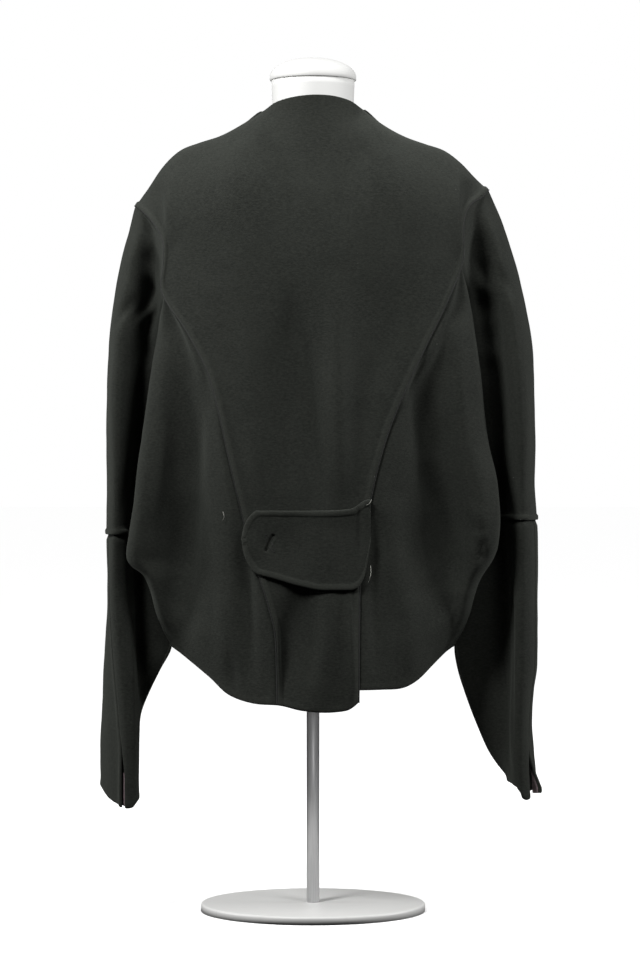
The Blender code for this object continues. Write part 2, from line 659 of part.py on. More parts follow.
def shape_cuff(side, rows, heights):
    """Let the cuff's edge rise towards the sleeve's inner and outer sides."""
    inner, outer = reading(SLEEVE[side], "roll_x", CUFF[side]), reading(SLEEVE[side], "side_x", CUFF[side])
    for row, height in zip(rows, heights):
        share = 1.0 - smooth_step((height - CUFF[side]) / CUFF_REACH)
        for point in row:
            across = (point.x - inner) / (outer - inner)
            point.z += reading(CUFF_SHAPE[side], "rise", across, along="share") * MM * share


def front(side, name):
    """Front: from its centre edge round to the deep armhole, neckline and shoulder at its top."""
    seam_z, deep_z = seam_heights(side), armhole_heights(side)
    outer_z = deep_z + seam_z[len(deep_z):]
    tip = abs(BACK_SEAM[side]["x"][0])
    crown = flat_columns(NECK_HALF_WIDTH)
    crown += [blend(NECK_HALF_WIDTH, tip, share) for share in SHOULDER_COLUMNS[1:]]
    rows = []
    for row_index, z_out in enumerate(outer_z):
        rise = share_of_rise(side, row_index)
        middle_rise = (rise + share_of_rise(-side, row_index)) / 2
        deep = z_out < ARMHOLE_FOOT[side] - 1e-6
        end = deep_point(side, z_out, "front") if deep else front_armhole_point(side, z_out)
        turn = blend(NECK_HALF_WIDTH, FRONT_TURN, smooth_step((outer_z[-1] - z_out) / (180 * MM)))
        flat = flat_columns(turn)
        if not deep:
            flat += [blend(turn, abs(end.x), share) for share in SHOULDER_COLUMNS[1:]]
        row = []
        for i, x in enumerate(flat):
            foot = blend(FRONT_HEM_HEIGHT, SIDE_HEM_HEIGHT, (i / (len(crown) - 1)) ** 2)
            up = blend(middle_rise, rise, min(max(i - 2, 0) / 2, 1.0))
            row.append(over_front(side, front_point(side * x, blend(foot, front_top(side, crown[i]), up))))
        if deep:
            ridge = section_point(FRONT_SIDE, "ridge", z_out)
            edge = section_point(FRONT_SIDE, "edge", z_out)
            ridge.x *= side
            edge.x *= side
            if not rows:
                end += Vector((-side * HEM_CORNER_INSET[0], HEM_CORNER_INSET[1], 0.0))
            row = row[:-1] + through([row[-1], ridge, edge, end], (2, 2, 3))
        else:
            row[-1] = end
        rows.append(row)
    return Piece(name, rows, wool, flip=side > 0)


def flat_columns(turn):
    """Places of a front's columns from its centre edge to its turn, alike on both fronts where they lap."""
    return [-FRONT_OVERLAP, 0.0, FRONT_OVERLAP, (FRONT_OVERLAP + turn) / 2, turn]


def share_of_rise(side, row_index):
    """How far up the armhole seam a row of a front lies, from 0 to 1."""
    foot, tip = SIDE_HEM_HEIGHT, ARMHOLE_TIP[side]
    heights = armhole_heights(side)
    heights += seam_heights(side)[len(heights):]
    return (heights[row_index] - foot) / (tip - foot)


def front_top(side, reach):
    """Height of a front's top edge: round neckline, then the shoulder."""
    if reach < NECK_HALF_WIDTH - 1e-6:
        t = abs(reach) / NECK_HALF_WIDTH
        return blend(FRONT_NECK_HEIGHT, SIDE_NECK_HEIGHT, 1 - math.sqrt(1 - t * t))
    return reading(OUTLINE, "z", side * reach, along="x")


def over_front(side, point):
    """Raise the right front where it lies over the left one."""
    if side < 0:
        return point
    lap = 1.0 - smooth_step((point.x - LAP_HOLD) / LAP_EASE)
    lap *= smooth_step((SIDE_NECK_HEIGHT - 4 * MM - point.z) / LAP_EASE)
    return point + Vector((0.0, lap * (CLOTH_WALL + LAP_CLEARANCE), 0.0))


def tab():
    """Half-belt tab over the back waist, with a round left end."""
    steps = 22
    rows = 4
    start, end = TAB["x"][0], TAB["x"][-1]
    net = []
    for j in range(rows + 1):
        row = []
        for i in range(steps + 1):
            share = i / steps
            x = blend(start, end, share ** 1.5 if share < 0.3 else share)
            z = blend(reading(TAB, "bottom", x, along="x"), reading(TAB, "top", x, along="x"), j / rows)
            point = back_point(x, z)
            point.y -= CLOTH_WALL + TAB_CLEARANCE + max(fold_depth(x, z), 0.0)
            row.append(point)
        net.append(row)
    return Piece("back_tab", net, wool)


def vent_facing(side, name, flap):
    """Facing on the inner side of the vent's flap, from a little past or short of the flap's edge."""
    rows = []
    for row, inward in zip(flap.net, flap.inward):
        if row[0].z > VENT_TOP[side] - SEAM_GAP:
            break
        points, ways = (row, inward) if side > 0 else (row[::-1], inward[::-1])
        start = points[0] + (points[1] - points[0]).normalized() * FACING_START[side]
        line = [start] + [points[i] for i in range(1, FACING_COLUMNS)]
        rows.append([point + way * (CLOTH_WALL + FACING_GAP) for point, way in zip(line, ways)])
    return Piece(name, rows, facing_cloth, flip=side < 0, wall=FACING_WALL)


def turned(name, profile, material, steps=40):
    """Solid of revolution about the pole's axis, its profile running down the outer side."""
    mesh = bpy.data.meshes.new(name)
    mesh.from_pydata([(radius, 0.0, height) for radius, height in profile],
                     [(i, i + 1) for i in range(len(profile) - 1)], [])
    piece = keep(name, mesh, material)
    screw = piece.modifiers.new("turn", "SCREW")
    screw.steps = screw.render_steps = steps
    screw.use_merge_vertices = True
    screw.merge_threshold = 0.00001
    screw.use_smooth_shade = True
    return piece


def torso():
    """Torso and neck of the form: a column of rounded sections, closed at both ends."""
    around = 28
    body = bmesh.new()
    levels = len(TORSO["z"])
    bmesh.ops.create_cone(body, cap_ends=True, segments=around, radius1=1.0, radius2=1.0, depth=2.0)
    bmesh.ops.subdivide_edges(
        body, edges=[e for e in body.edges if abs(e.verts[0].co.z - e.verts[1].co.z) > 1.0],
        cuts=levels - 2, use_grid_fill=True)
    for corner in body.verts:
        level = round((1.0 - corner.co.z) / 2.0 * (levels - 1))
        wide, deep = TORSO["half_width"][level], TORSO["half_depth"][level]
        corner.co = Vector((corner.co.x * wide, corner.co.y * deep, TORSO["z"][level]))
    mesh = bpy.data.meshes.new("form_torso")
    body.to_mesh(mesh)
    body.free()
    return keep("form_torso", mesh, form_cover)


for leftover in list(bpy.data.objects):
    bpy.data.objects.remove(leftover, do_unlink=True)
parts = bpy.data.collections.new("wool_jacket_on_dress_form")
bpy.context.scene.collection.children.link(parts)

wool = new_material("dark green double-faced wool", (0.030, 0.034, 0.028), 0.95)
facing_cloth = new_material("mauve facing", (0.30, 0.22, 0.24), 0.9)
form_cover = new_material("white form cover", (0.85, 0.85, 0.84), 0.6)
base_paint = new_material("white painted steel", (0.85, 0.85, 0.84), 0.5)
pole_metal = new_material("grey pole", (0.35, 0.35, 0.35), 0.35, 1.0)

garment = [back_centre()]
trim = [tab()]
for hand, label in ((-1, "left"), (1, "right")):
    garment.append(side_back(hand, "side_back_" + label))
    garment.append(sleeve_upper(hand, "sleeve_upper_" + label))
    garment.append(lower_sleeve(hand, "sleeve_lower_back_" + label, "back"))
    garment.append(lower_sleeve(hand, "sleeve_lower_front_" + label, "front"))
    garment.append(front(hand, "front_" + label))
sew(garment)
for hand, label in ((-1, "left"), (1, "right")):
    flap = next(piece for piece in garment if piece.name == "sleeve_lower_front_" + label)
    trim.append(vent_facing(hand, "vent_facing_" + label, flap))
for cut_piece in garment + trim:
    cut_piece.make()

torso()
turned("form_neck_cap", (
    (0.0, 1065 * MM), (20 * MM, 1063 * MM), (40 * MM, 1056 * MM), (50 * MM, 1049 * MM),
    (CAP_RADIUS, 1041 * MM), (CAP_RADIUS, NECK_TOP + SEAM_GAP), (0.0, NECK_TOP + SEAM_GAP)), form_cover)
turned("form_pole", (
    (0.0, TORSO_FOOT - SEAM_GAP), (POLE_RADIUS, TORSO_FOOT - SEAM_GAP),
    (POLE_RADIUS, BASE_HEIGHT + SEAM_GAP), (0.0, BASE_HEIGHT + SEAM_GAP)), pole_metal, steps=24)
turned("form_base", (
    (0.0, BASE_HEIGHT), (BASE_RADIUS - 3 * MM, BASE_HEIGHT), (BASE_RADIUS, BASE_HEIGHT - 3 * MM),
    (BASE_RADIUS, 0.0), (0.0, 0.0)), base_paint, steps=48)
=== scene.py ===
"""Looks of the collarless wool jacket on its dress form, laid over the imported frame.

Laid out as a Blender add-on: sizes and colours that a user may change are properties, each group of pieces
has an operator, and a panel lists them. The jacket's back faces -Y and +X is the wearer's right.
"""
import math

import bmesh
import bpy
from bpy.props import FloatProperty, FloatVectorProperty, IntProperty, PointerProperty
from mathutils import Matrix, Vector, noise


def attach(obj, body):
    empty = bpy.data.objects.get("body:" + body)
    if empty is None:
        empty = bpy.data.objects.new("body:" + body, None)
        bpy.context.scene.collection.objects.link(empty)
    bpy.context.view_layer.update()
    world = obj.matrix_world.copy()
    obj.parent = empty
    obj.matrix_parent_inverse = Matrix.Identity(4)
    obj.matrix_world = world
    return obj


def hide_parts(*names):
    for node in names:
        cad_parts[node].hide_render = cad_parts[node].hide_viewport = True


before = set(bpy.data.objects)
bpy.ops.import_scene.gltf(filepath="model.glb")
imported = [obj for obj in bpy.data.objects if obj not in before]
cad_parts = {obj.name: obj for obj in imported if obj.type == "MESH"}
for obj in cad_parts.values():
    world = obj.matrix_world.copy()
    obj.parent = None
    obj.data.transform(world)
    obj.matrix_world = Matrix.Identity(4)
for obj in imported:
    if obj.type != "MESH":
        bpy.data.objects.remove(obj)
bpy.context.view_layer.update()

bl_info = {
    "name": "Wool jacket on a dress form",
    "version": (1, 0, 0),
    "blender": (4, 5, 0),
    "location": "View3D > Sidebar > Jacket",
    "description": "Builds a collarless felted wool jacket, its sewing, its dress form and a plain studio",
    "category": "Object",
}

MM = 0.001
BODY = "root"
SIDES = {"left": -1, "right": 1}

# A length too short to see, and how a soft fold swells between its two ends
SMALL = 1e-6
FOLD_EASE = 0.8

# Cloth and seams: the cloth's wall, the gap between pieces, and how far the side hem's corner keeps clear
CLOTH_WALL = 3.0 * MM
SEAM_GAP = 0.3 * MM
HEM_CORNER_INSET = (3.5 * MM, 6.0 * MM)

# Narrow top edges of the side panels and of the sleeves, just under the pieces that lap over them
PANEL_TIP_SHARE = 0.14
PANEL_TIP_INSET = 0.05
TIP_DROP = 0.2 * MM
TIP_OUTSET = 0.2 * MM
TIP_MARKS = (0.35, 0.75)
TIP_STEPS = (3, 4, 3, 3, 4, 3)

# Lap of the right front over the left one
LAP_CLEARANCE = 1.6 * MM
LAP_HOLD = 26.0 * MM
LAP_EASE = 45.0 * MM
LAP_BELOW_NECK = 4.0 * MM

# Body of the jacket: its plan is a squared oval, and its depth eases in below the shoulders and neck
BODY_HALF_WIDTH = 250.0 * MM
BODY_SQUARENESS = 3.2
SHOULDER_ROLL = 100.0 * MM
NECK_SLOPE = 190.0 * MM
NECK_CURVE = 1.8
NECK_FLAT = 30.0 * MM
NECK_EASE = 60.0 * MM
NECK_HALF_WIDTH = 62.0 * MM
FRONT_NECK_HEIGHT = 930.0 * MM
SIDE_NECK_HEIGHT = 1000.0 * MM
FRONT_OVERLAP = 25.0 * MM
FRONT_HEM_HEIGHT = 300.0 * MM
FRONT_TURN = 120.0 * MM
FRONT_TURN_REACH = 180.0 * MM
SLEEVE_SIDE_Y = 14.0 * MM
PRINCESS_FOOT = {-1: 265.0 * MM, 1: 268.0 * MM}
SIDE_HEM_HEIGHT = 328.0 * MM
HEM_REACH = 120.0 * MM

# Rows and columns of the nets: shares of a width or height, heights, and steps between two of them
CURVE_STEPS = 5
SHOULDER_ROWS = (0.0, 0.04, 0.12, 0.26, 0.45, 0.7, 1.0)
SHOULDER_COLUMNS = (0.0, 0.16, 0.33, 0.5, 0.65, 0.78, 0.9, 1.0)
NECK_COLUMNS = (-1.0, -0.75, -0.4, 0.0, 0.4, 0.75, 1.0)
SLEEVE_STEPS = (2, 3, 2, 2, 2, 4, 3, 2)
LOWER_BACK_SPANS = 4
SIDE_BACK_STEPS = (2, 3, 3, 2, 4)
FRONT_SIDE_STEPS = (2, 2, 3)
HOLLOW_LEAD = 0.32
SIDE_ROWS = tuple(height * MM for height in (348, 370, 392, 408, 420, 430, 440, 454))
ROWS_ABOVE_ELBOW = 7

# Dress form: pole, neck cap with its lip, torso and round base
POLE_RADIUS = 8.0 * MM
CAP_RADIUS = 54.0 * MM
BASE_RADIUS = 140.0 * MM
BASE_HEIGHT = 10.0 * MM
BASE_ROUND = 3.0 * MM
BASE_ROUND_STEPS = 6
TORSO_FOOT = 352.0 * MM
NECK_TOP = 1036.0 * MM
CAP_EDGE = 1041.0 * MM
CAP_RISE = 24.0 * MM
CAP_LIP = 1.2 * MM
CAP_LIP_ROUND = 0.9 * MM
CAP_ARC_STEP = 6
POLE_STEPS = 48
TORSO_SHARES = (0.25, 0.5, 0.75)
WELD = 0.01 * MM


def table(names, *rows):
    """Turn rows of millimetre values into one list in metres for each named column."""
    return {name: [value * MM for value in column] for name, column in zip(names.split(), zip(*rows))}


# Top outline of the jacket from behind: neckline, shoulders and armhole tips
OUTLINE = table(
    "x z",
    (-222, 880), (-204, 905), (-191, 924), (-176, 944), (-148, 957), (-110, 970), (-81, 987),
    (-62, 999), (-50, 1004), (-30, 1009), (0, 1012), (30, 1011), (50, 1006), (64, 1000),
    (84, 984), (121, 964), (165, 949), (187, 932), (205, 913), (219, 900))

# Depth of the back at its middle, and of the fronts, behind and before the pole
BODY_DEPTH = table(
    "z back front",
    (1015, 62, 30), (980, 86, 45), (940, 106, 72), (900, 118, 92), (850, 126, 108), (800, 129, 116),
    (700, 131, 120), (600, 132, 122), (520, 130, 120), (460, 126, 118), (400, 129, 118), (250, 134, 122))

# Seam between the centre back and the side panels, with the armhole seam above it
BACK_SEAM = {
    -1: table(
        "z x",
        (880, -222), (868, -208), (853, -195), (839, -186), (826, -182), (777, -182), (768, -184),
        (714, -150), (653, -121), (604, -110), (538, -95), (492, -84), (426, -66), (386, -53),
        (344, -44), (265, -42)),
    1: table(
        "z x",
        (900, 219), (887, 207), (879, 196), (870, 188), (851, 184), (806, 183), (739, 155), (665, 120),
        (610, 96), (556, 79), (513, 69), (412, 56), (268, 55))}
ARMHOLE_FOOT = {-1: 768.0 * MM, 1: 806.0 * MM}
ARMHOLE_TIP = {-1: 880.0 * MM, 1: 900.0 * MM}

# Least height of a side-back panel's hem: the right one has slipped up under the centre back
SLIPPED_HEM = {-1: 0.0, 1: 283.0 * MM}

# Hem of the centre back and of the side panels
HEM = table(
    "x z",
    (-174, 330), (-161, 322), (-148, 312), (-135, 302), (-122, 292), (-112, 283), (-100, 274),
    (-80, 267), (-42, 265), (-9, 258), (15, 256), (39, 258), (55, 268), (60, 281), (98, 282), (110, 284),
    (118, 287), (128, 292), (139, 302), (150, 312), (160, 322), (172, 330))

# Side-back panel: hollow, lit ridge and the fold over the armhole
SIDE_BACK = {
    -1: table(
        "z hollow_x hollow_y ridge_x ridge_y edge_x edge_y",
        (768, -185, -68, -186, -66, -187, -62),
        (734, -172, -76, -184, -70, -189, -58),
        (704, -152, -92, -186, -76, -194, -58),
        (636, -162, -84, -197, -80, -204, -62),
        (574, -165, -77, -204, -86, -213, -68),
        (513, -160, -72, -210, -92, -220, -74),
        (471, -159, -68, -215, -92, -226, -74),
        (450, -160, -66, -216, -90, -229, -72),
        (438, -162, -65, -214, -86, -229, -68),
        (430, -163, -65, -207, -84, -222, -66),
        (420, -165, -65, -199, -82, -209, -64),
        (402, -168, -66, -193, -78, -201, -60),
        (365, -171, -66, -184, -66, -191, -50),
        (328, -165, -52, -170, -46, -174, -32)),
    1: table(
        "z hollow_x hollow_y ridge_x ridge_y edge_x edge_y",
        (806, 184, -70, 185, -68, 186, -64),
        (759, 176, -80, 188, -72, 193, -58),
        (698, 158, -96, 193, -82, 203, -62),
        (636, 144, -96, 196, -84, 209, -64),
        (574, 154, -84, 200, -88, 217, -66),
        (520, 161, -74, 209, -92, 229, -72),
        (500, 163, -71, 210, -93, 230, -74),
        (476, 165, -68, 207, -92, 228, -74),
        (454, 166, -66, 204, -90, 226, -72),
        (441, 168, -65, 200, -86, 221, -68),
        (429, 170, -65, 197, -84, 214, -66),
        (416, 171, -65, 192, -80, 206, -62),
        (402, 172, -65, 189, -76, 201, -60),
        (365, 172, -64, 183, -64, 191, -50),
        (328, 164, -52, 169, -46, 173, -32))}

# Deep armhole seam, and below the side hem the underarm seam: back and front halves of the sleeve meet
ARMHOLE = {
    -1: table(
        "z x back front",
        (768, -187, -58, 60), (734, -190, -42, 60), (704, -194, -26, 60), (636, -200, -12, 60),
        (574, -205, -8, 60), (513, -209, -5, 58), (471, -211, -3, 54), (438, -210, 0, 50),
        (420, -203, 2, 46), (402, -197, 4, 42), (365, -187, 8, 32), (328, -177, 16, 16),
        (309, -186, 16, 16), (287, -198, 15, 15), (265, -207, 12, 12), (243, -216, 10, 10),
        (228, -219, 8, 8), (132, -219, 8, 8)),
    1: table(
        "z x back front",
        (806, 187, -58, 60), (759, 192, -38, 60), (698, 199, -22, 60), (636, 206, -10, 60),
        (574, 211, -7, 60), (513, 217, -5, 58), (488, 219, -3, 54), (454, 217, 0, 50),
        (429, 208, 2, 46), (402, 197, 4, 42), (365, 187, 8, 32), (328, 177, 16, 16),
        (305, 180, 16, 16), (287, 185, 16, 16), (262, 193, 16, 16), (236, 203, 14, 14),
        (211, 213, 12, 12), (192, 222, 10, 10), (171, 231, 8, 8), (156, 240, 6, 6), (142, 243, 5, 5))}

# Whole sleeve, back to front: roll into the armhole, fold, back, lengthwise seam, side, front, tuck
SLEEVE = {
    -1: table(
        "z roll_x roll_y fold_x fold_y back_x back_y seam_x seam_y side_x front_x front_y tuck_x tuck_y",
        (868, -211, -22, -213, -20, -215, -18, -220, -8, -222, -215, 18, -211, 22),
        (852, -201, -44, -208, -42, -214, -36, -224, -16, -229, -214, 36, -201, 44),
        (826, -196, -48, -208, -44, -220, -42, -232, -20, -236, -218, 48, -200, 54),
        (800, -197, -38, -210, -42, -226, -48, -238, -22, -242, -224, 62, -204, 62),
        (768, -199, -28, -213, -44, -231, -54, -244, -26, -248, -229, 74, -207, 68),
        (704, -206, -22, -220, -46, -239, -60, -251, -28, -255, -236, 84, -212, 74),
        (636, -214, -16, -225, -46, -242, -62, -254, -28, -258, -240, 92, -216, 78),
        (574, -218, -14, -229, -44, -243, -60, -254, -28, -258, -241, 92, -218, 78),
        (513, -221, -12, -232, -42, -244, -56, -254, -28, -258, -242, 90, -221, 76),
        (471, -223, -8, -233, -42, -245, -54, -254, -30, -258, -243, 88, -224, 72),
        (431, -222, -2, -233, -42, -245, -53, -253, -34, -257, -243, 84, -224, 66),
        (388, -219, 2, -231, -42, -243, -53, -252, -36, -257, -243, 78, -224, 60),
        (338, -214, 2, -226, -42, -239, -53, -249, -40, -261, -244, 74, -222, 54),
        (300, -212, -4, -223, -42, -236, -53, -246, -42, -263, -245, 70, -222, 48),
        (262, -215, -10, -222, -44, -232, -54, -242, -46, -264, -244, 66, -222, 44),
        (229, -216, -16, -220, -46, -229, -55, -239, -49, -266, -244, 64, -222, 42),
        (180, -216, -20, -219, -46, -226, -54, -234, -51, -267, -244, 62, -221, 40),
        (132, -216, -20, -219, -45, -226, -53, -233, -51, -267, -243, 60, -221, 38)),
    1: table(
        "z roll_x roll_y fold_x fold_y back_x back_y seam_x seam_y side_x front_x front_y tuck_x tuck_y",
        (892, 210, -22, 212, -20, 214, -18, 218, -8, 221, 214, 18, 210, 22),
        (879, 202, -40, 207, -38, 213, -34, 223, -16, 229, 213, 36, 202, 42),
        (851, 198, -50, 210, -46, 221, -42, 234, -20, 240, 222, 50, 204, 54),
        (806, 200, -38, 216, -44, 233, -50, 248, -22, 254, 235, 66, 210, 64),
        (769, 203, -30, 221, -45, 241, -56, 257, -26, 263, 243, 76, 214, 68),
        (698, 213, -24, 233, -46, 252, -60, 269, -28, 275, 253, 84, 224, 74),
        (636, 221, -18, 238, -46, 256, -62, 272, -28, 277, 257, 92, 230, 78),
        (574, 226, -16, 241, -44, 258, -60, 272, -28, 278, 258, 92, 233, 78),
        (513, 231, -12, 245, -42, 260, -56, 273, -28, 278, 260, 90, 236, 76),
        (488, 232, -8, 246, -42, 261, -54, 275, -28, 280, 261, 88, 237, 72),
        (440, 231, -4, 246, -42, 261, -53, 276, -28, 281, 262, 84, 238, 66),
        (388, 229, -2, 246, -42, 261, -53, 276, -28, 281, 262, 78, 238, 60),
        (338, 229, -4, 246, -42, 261, -53, 276, -28, 281, 262, 74, 238, 54),
        (300, 232, -8, 246, -42, 260, -53, 275, -28, 280, 262, 70, 238, 50),
        (262, 236, -12, 246, -43, 258, -53, 270, -30, 275, 258, 66, 240, 46),
        (225, 240, -16, 246, -44, 257, -53, 268, -34, 274, 257, 64, 242, 44),
        (188, 243, -18, 248, -44, 257, -53, 268, -38, 278, 260, 62, 244, 42),
        (142, 246, -18, 250, -43, 258, -52, 270, -40, 281, 262, 60, 248, 40))}
ELBOW = {-1: 470.0 * MM, 1: 488.0 * MM}
CUFF = {-1: 132.0 * MM, 1: 142.0 * MM}
CUFF_REACH = 60.0 * MM
CUFF_ROWS = (150.0 * MM, 175.0 * MM)
ROWS_ABOVE_VENT = tuple(height * MM for height in (228, 250, 275, 300))

# Rise of the cuff's edge across the sleeve, from its inner to its outer side
CUFF_SHAPE = {
    -1: {"share": (0.0, 0.12, 0.25, 0.4, 0.75, 0.93, 1.0), "rise": (8, 1, 0, 2, 9, 18, 22)},
    1: {"share": (0.0, 0.25, 0.36, 0.5, 0.8, 1.0), "rise": (18, 13, 3, 0, 3, 8)}}
VENT_TOP = {-1: 206.0 * MM, 1: 200.0 * MM}
VENT_GAP = {-1: 4.0 * MM, 1: 3.0 * MM}
VENT_FLARE = {-1: 0.0, 1: 13.0 * MM}
VENT_EASE = 25.0 * MM
FLARE_REACH = 50.0 * MM

# Front side of the body: soft ridge and fold before the armhole seam
FRONT_SIDE = table(
    "z ridge_x ridge_y edge_x edge_y",
    (806, 178, 72, 186, 68), (768, 172, 86, 187, 72), (704, 172, 98, 195, 80), (636, 176, 100, 204, 84),
    (574, 182, 100, 211, 84), (513, 188, 98, 217, 82), (471, 190, 96, 219, 80), (438, 188, 90, 216, 76),
    (402, 176, 82, 202, 66), (365, 166, 74, 189, 54), (328, 156, 66, 175, 34))

# Soft folds of the centre back: top and foot of each line, half width and depth
BACK_FOLDS = (
    {"top": (-38, 745), "foot": (-12, 505), "width": 30, "depth": 14},
    {"top": (28, 720), "foot": (30, 480), "width": 30, "depth": -6},
    {"top": (88, 800), "foot": (58, 590), "width": 26, "depth": 7},
    {"top": (-10, 400), "foot": (-30, 262), "width": 22, "depth": 8})

# Half-belt tab: its outline from behind, left round end first
TAB = table(
    "x top bottom",
    (-86, 468, 466), (-84, 480, 450), (-78, 492, 436), (-68, 500, 424), (-52, 500, 420), (-15, 500, 409),
    (15, 500, 404), (45, 502, 404), (54, 506, 407), (62, 512, 420), (70, 514, 462))
TAB_CLEARANCE = 2.0 * MM
TAB_STEPS = 22
TAB_ROWS = 4
TAB_ROUND_SHARE = 0.3
TAB_ROUND_POWER = 1.5

# Facing of a vent: how far past the flap's edge it starts, its columns, wall and distance from the flap
FACING_START = {-1: -3.0 * MM, 1: 1.5 * MM}
FACING_COLUMNS = 3
FACING_WALL = 1.0 * MM
FACING_GAP = 0.7 * MM

# Torso of the dress form: half width and half depth at each level
TORSO = table(
    "z half_width half_depth",
    (1036, 52, 52), (1006, 51, 51), (996, 51, 47), (988, 53, 30), (976, 71, 28), (966, 97, 34),
    (957, 124, 43), (945, 147, 46), (926, 158, 52), (905, 164, 64), (870, 166, 80), (820, 162, 90),
    (760, 148, 92), (700, 138, 90), (640, 134, 88), (580, 140, 92), (500, 148, 98), (420, 146, 98),
    (370, 140, 92), (356, 120, 76), (352, 60, 40))


def reading(columns, name, place, along="z"):
    """Value of a named column at a place, on a smooth curve through the table's rows."""
    pairs = sorted(zip(columns[along], columns[name]))
    if place <= pairs[0][0]:
        return pairs[0][1]
    if place >= pairs[-1][0]:
        return pairs[-1][1]
    slopes = [(b[1] - a[1]) / (b[0] - a[0]) for a, b in zip(pairs, pairs[1:])]
    span = next(i for i in range(len(slopes)) if place <= pairs[i + 1][0])

    def tangent(i):
        """Slope at a row: none at a turning point, else the harmonic mean of its neighbours."""
        if i == 0 or i == len(slopes):
            return slopes[max(i - 1, 0)]
        before, after = slopes[i - 1], slopes[i]
        return 0.0 if before * after <= 0 else 2 * before * after / (before + after)

    (x0, y0), (x1, y1) = pairs[span], pairs[span + 1]
    width = x1 - x0
    t = (place - x0) / width
    return (y0 * (1 + 2 * t) * (1 - t) ** 2 + y1 * t * t * (3 - 2 * t)
            + width * (tangent(span) * t * (1 - t) ** 2 - tangent(span + 1) * t * t * (1 - t)))


def smooth_step(t):
    """Ease from 0 to 1."""
    t = min(max(t, 0.0), 1.0)
    return t * t * (3 - 2 * t)


def through(points, steps):
    """Points on a smooth curve through the given points, with a number of steps for each span."""
    knots = [0.0]
    for a, b in zip(points, points[1:]):
        knots.append(knots[-1] + max((b - a).length, SMALL))
    tangents = []
    for i, point in enumerate(points):
        low, high = max(i - 1, 0), min(i + 1, len(points) - 1)
        tangents.append((points[high] - points[low]) / (knots[high] - knots[low]))
    path = [points[0].copy()]
    for i, count in enumerate(steps):
        width = knots[i + 1] - knots[i]
        for step in range(1, count + 1):
            t = step / count
            path.append(points[i] * ((1 + 2 * t) * (1 - t) ** 2) + points[i + 1] * (t * t * (3 - 2 * t))
                        + tangents[i] * (width * t * (1 - t) ** 2)
                        - tangents[i + 1] * (width * t * t * (1 - t)))
    return path


def fold_depth(x, z):
    """How far the soft folds of the centre back push its surface towards the form."""
    push = 0.0
    for fold in BACK_FOLDS:
        top_x, top_z = (value * MM for value in fold["top"])
        foot_x, foot_z = (value * MM for value in fold["foot"])
        along = (top_z - z) / (top_z - foot_z)
        if not 0.0 < along < 1.0:
            continue
        away = (x - top_x - (foot_x - top_x) * along) / (fold["width"] * MM)
        push += fold["depth"] * MM * math.exp(-away * away) * math.sin(math.pi * along) ** FOLD_EASE
    return push


def below(top, z):
    """How far a height lies below a top, and exactly nothing at the top itself."""
    return top - z if top - z > SMALL else 0.0


def rounding(x, z):
    """Share of the full depth that the cloth has reached below the shoulder, from 0 to 1."""
    near_neck = 1.0 - smooth_step((abs(x) - NECK_FLAT) / NECK_EASE)
    drop = below(reading(OUTLINE, "z", x, along="x"), z)
    reach = SHOULDER_ROLL + (NECK_SLOPE - SHOULDER_ROLL) * near_neck
    t = min(drop / reach, 1.0)
    roll = math.sqrt(1 - (1 - t) ** 2)
    slope = 1 - (1 - t) ** NECK_CURVE
    return roll + (slope - roll) * near_neck


def lateral(x):
    """Share of the middle depth that is left at a distance from the middle."""
    return 1.0 - (min(abs(x) / BODY_HALF_WIDTH, 1.0)) ** BODY_SQUARENESS


def back_point(x, z):
    """Point of the jacket's back as seen from behind at x and z."""
    neck = math.sqrt(max(NECK_HALF_WIDTH ** 2 - x * x, 0.0))
    full = reading(BODY_DEPTH, "back", z) * lateral(x)
    depth = neck + (max(full, neck) - neck) * rounding(x, z)
    return Vector((x, -depth + fold_depth(x, z), z))


def front_point(x, z):
    """Point of the jacket's front at x and z, behind the shoulder's own outline."""
    shoulder = reading(OUTLINE, "z", math.copysign(max(abs(x), NECK_HALF_WIDTH), x or 1.0), along="x")
    t = min(below(shoulder, z) / SHOULDER_ROLL, 1.0)
    depth = reading(BODY_DEPTH, "front", z) * lateral(x) * math.sqrt(1 - (1 - t) ** 2)
    return Vector((x, depth, z))


def blend(a, b, t):
    """Value or point part of the way from a to b."""
    return a + (b - a) * t


def seam_heights(side):
    """Heights of the net's rows along the armhole and princess seam, from the hem up to the tip."""
    lower = [blend(PRINCESS_FOOT[side], ARMHOLE_FOOT[side], t) for t in lower_levels(side)]
    upper = [blend(ARMHOLE_TIP[side], ARMHOLE_FOOT[side], t) for t in reversed(SHOULDER_ROWS[:-1])]
    return lower + upper


def lower_levels(side):
    """Rows from the side hem to the foot of the armhole seam, as shares of that height."""
    foot, elbow, top = SIDE_HEM_HEIGHT, ELBOW[side], ARMHOLE_FOOT[side]
    heights = [foot, *SIDE_ROWS, elbow]
    heights += [blend(elbow, top, (step + 1) / ROWS_ABOVE_ELBOW) for step in range(ROWS_ABOVE_ELBOW)]
    return [(height - foot) / (top - foot) for height in heights]


def armhole_heights(side):
    """Heights of the rows along the deep armhole seam, from the side hem up."""
    return [blend(SIDE_HEM_HEIGHT, ARMHOLE_FOOT[side], t) for t in lower_levels(side)]


def seam_point(side, z):
    """Point on the back's armhole or princess seam."""
    return back_point(reading(BACK_SEAM[side], "x", z), z)


def front_armhole_point(side, z):
    """Point on the front's armhole seam, above the deep armhole."""
    return front_point(reading(BACK_SEAM[side], "x", z), z)


def deep_point(side, z, half):
    """Point on the deep armhole seam, on its back or front half."""
    return Vector((reading(ARMHOLE[side], "x", z), reading(ARMHOLE[side], half, z), z))


def section_point(columns, name, z, shift=0.0):
    """Point of a table with x and y columns of one name."""
    return Vector((reading(columns, name + "_x", z) + shift, reading(columns, name + "_y", z), z))


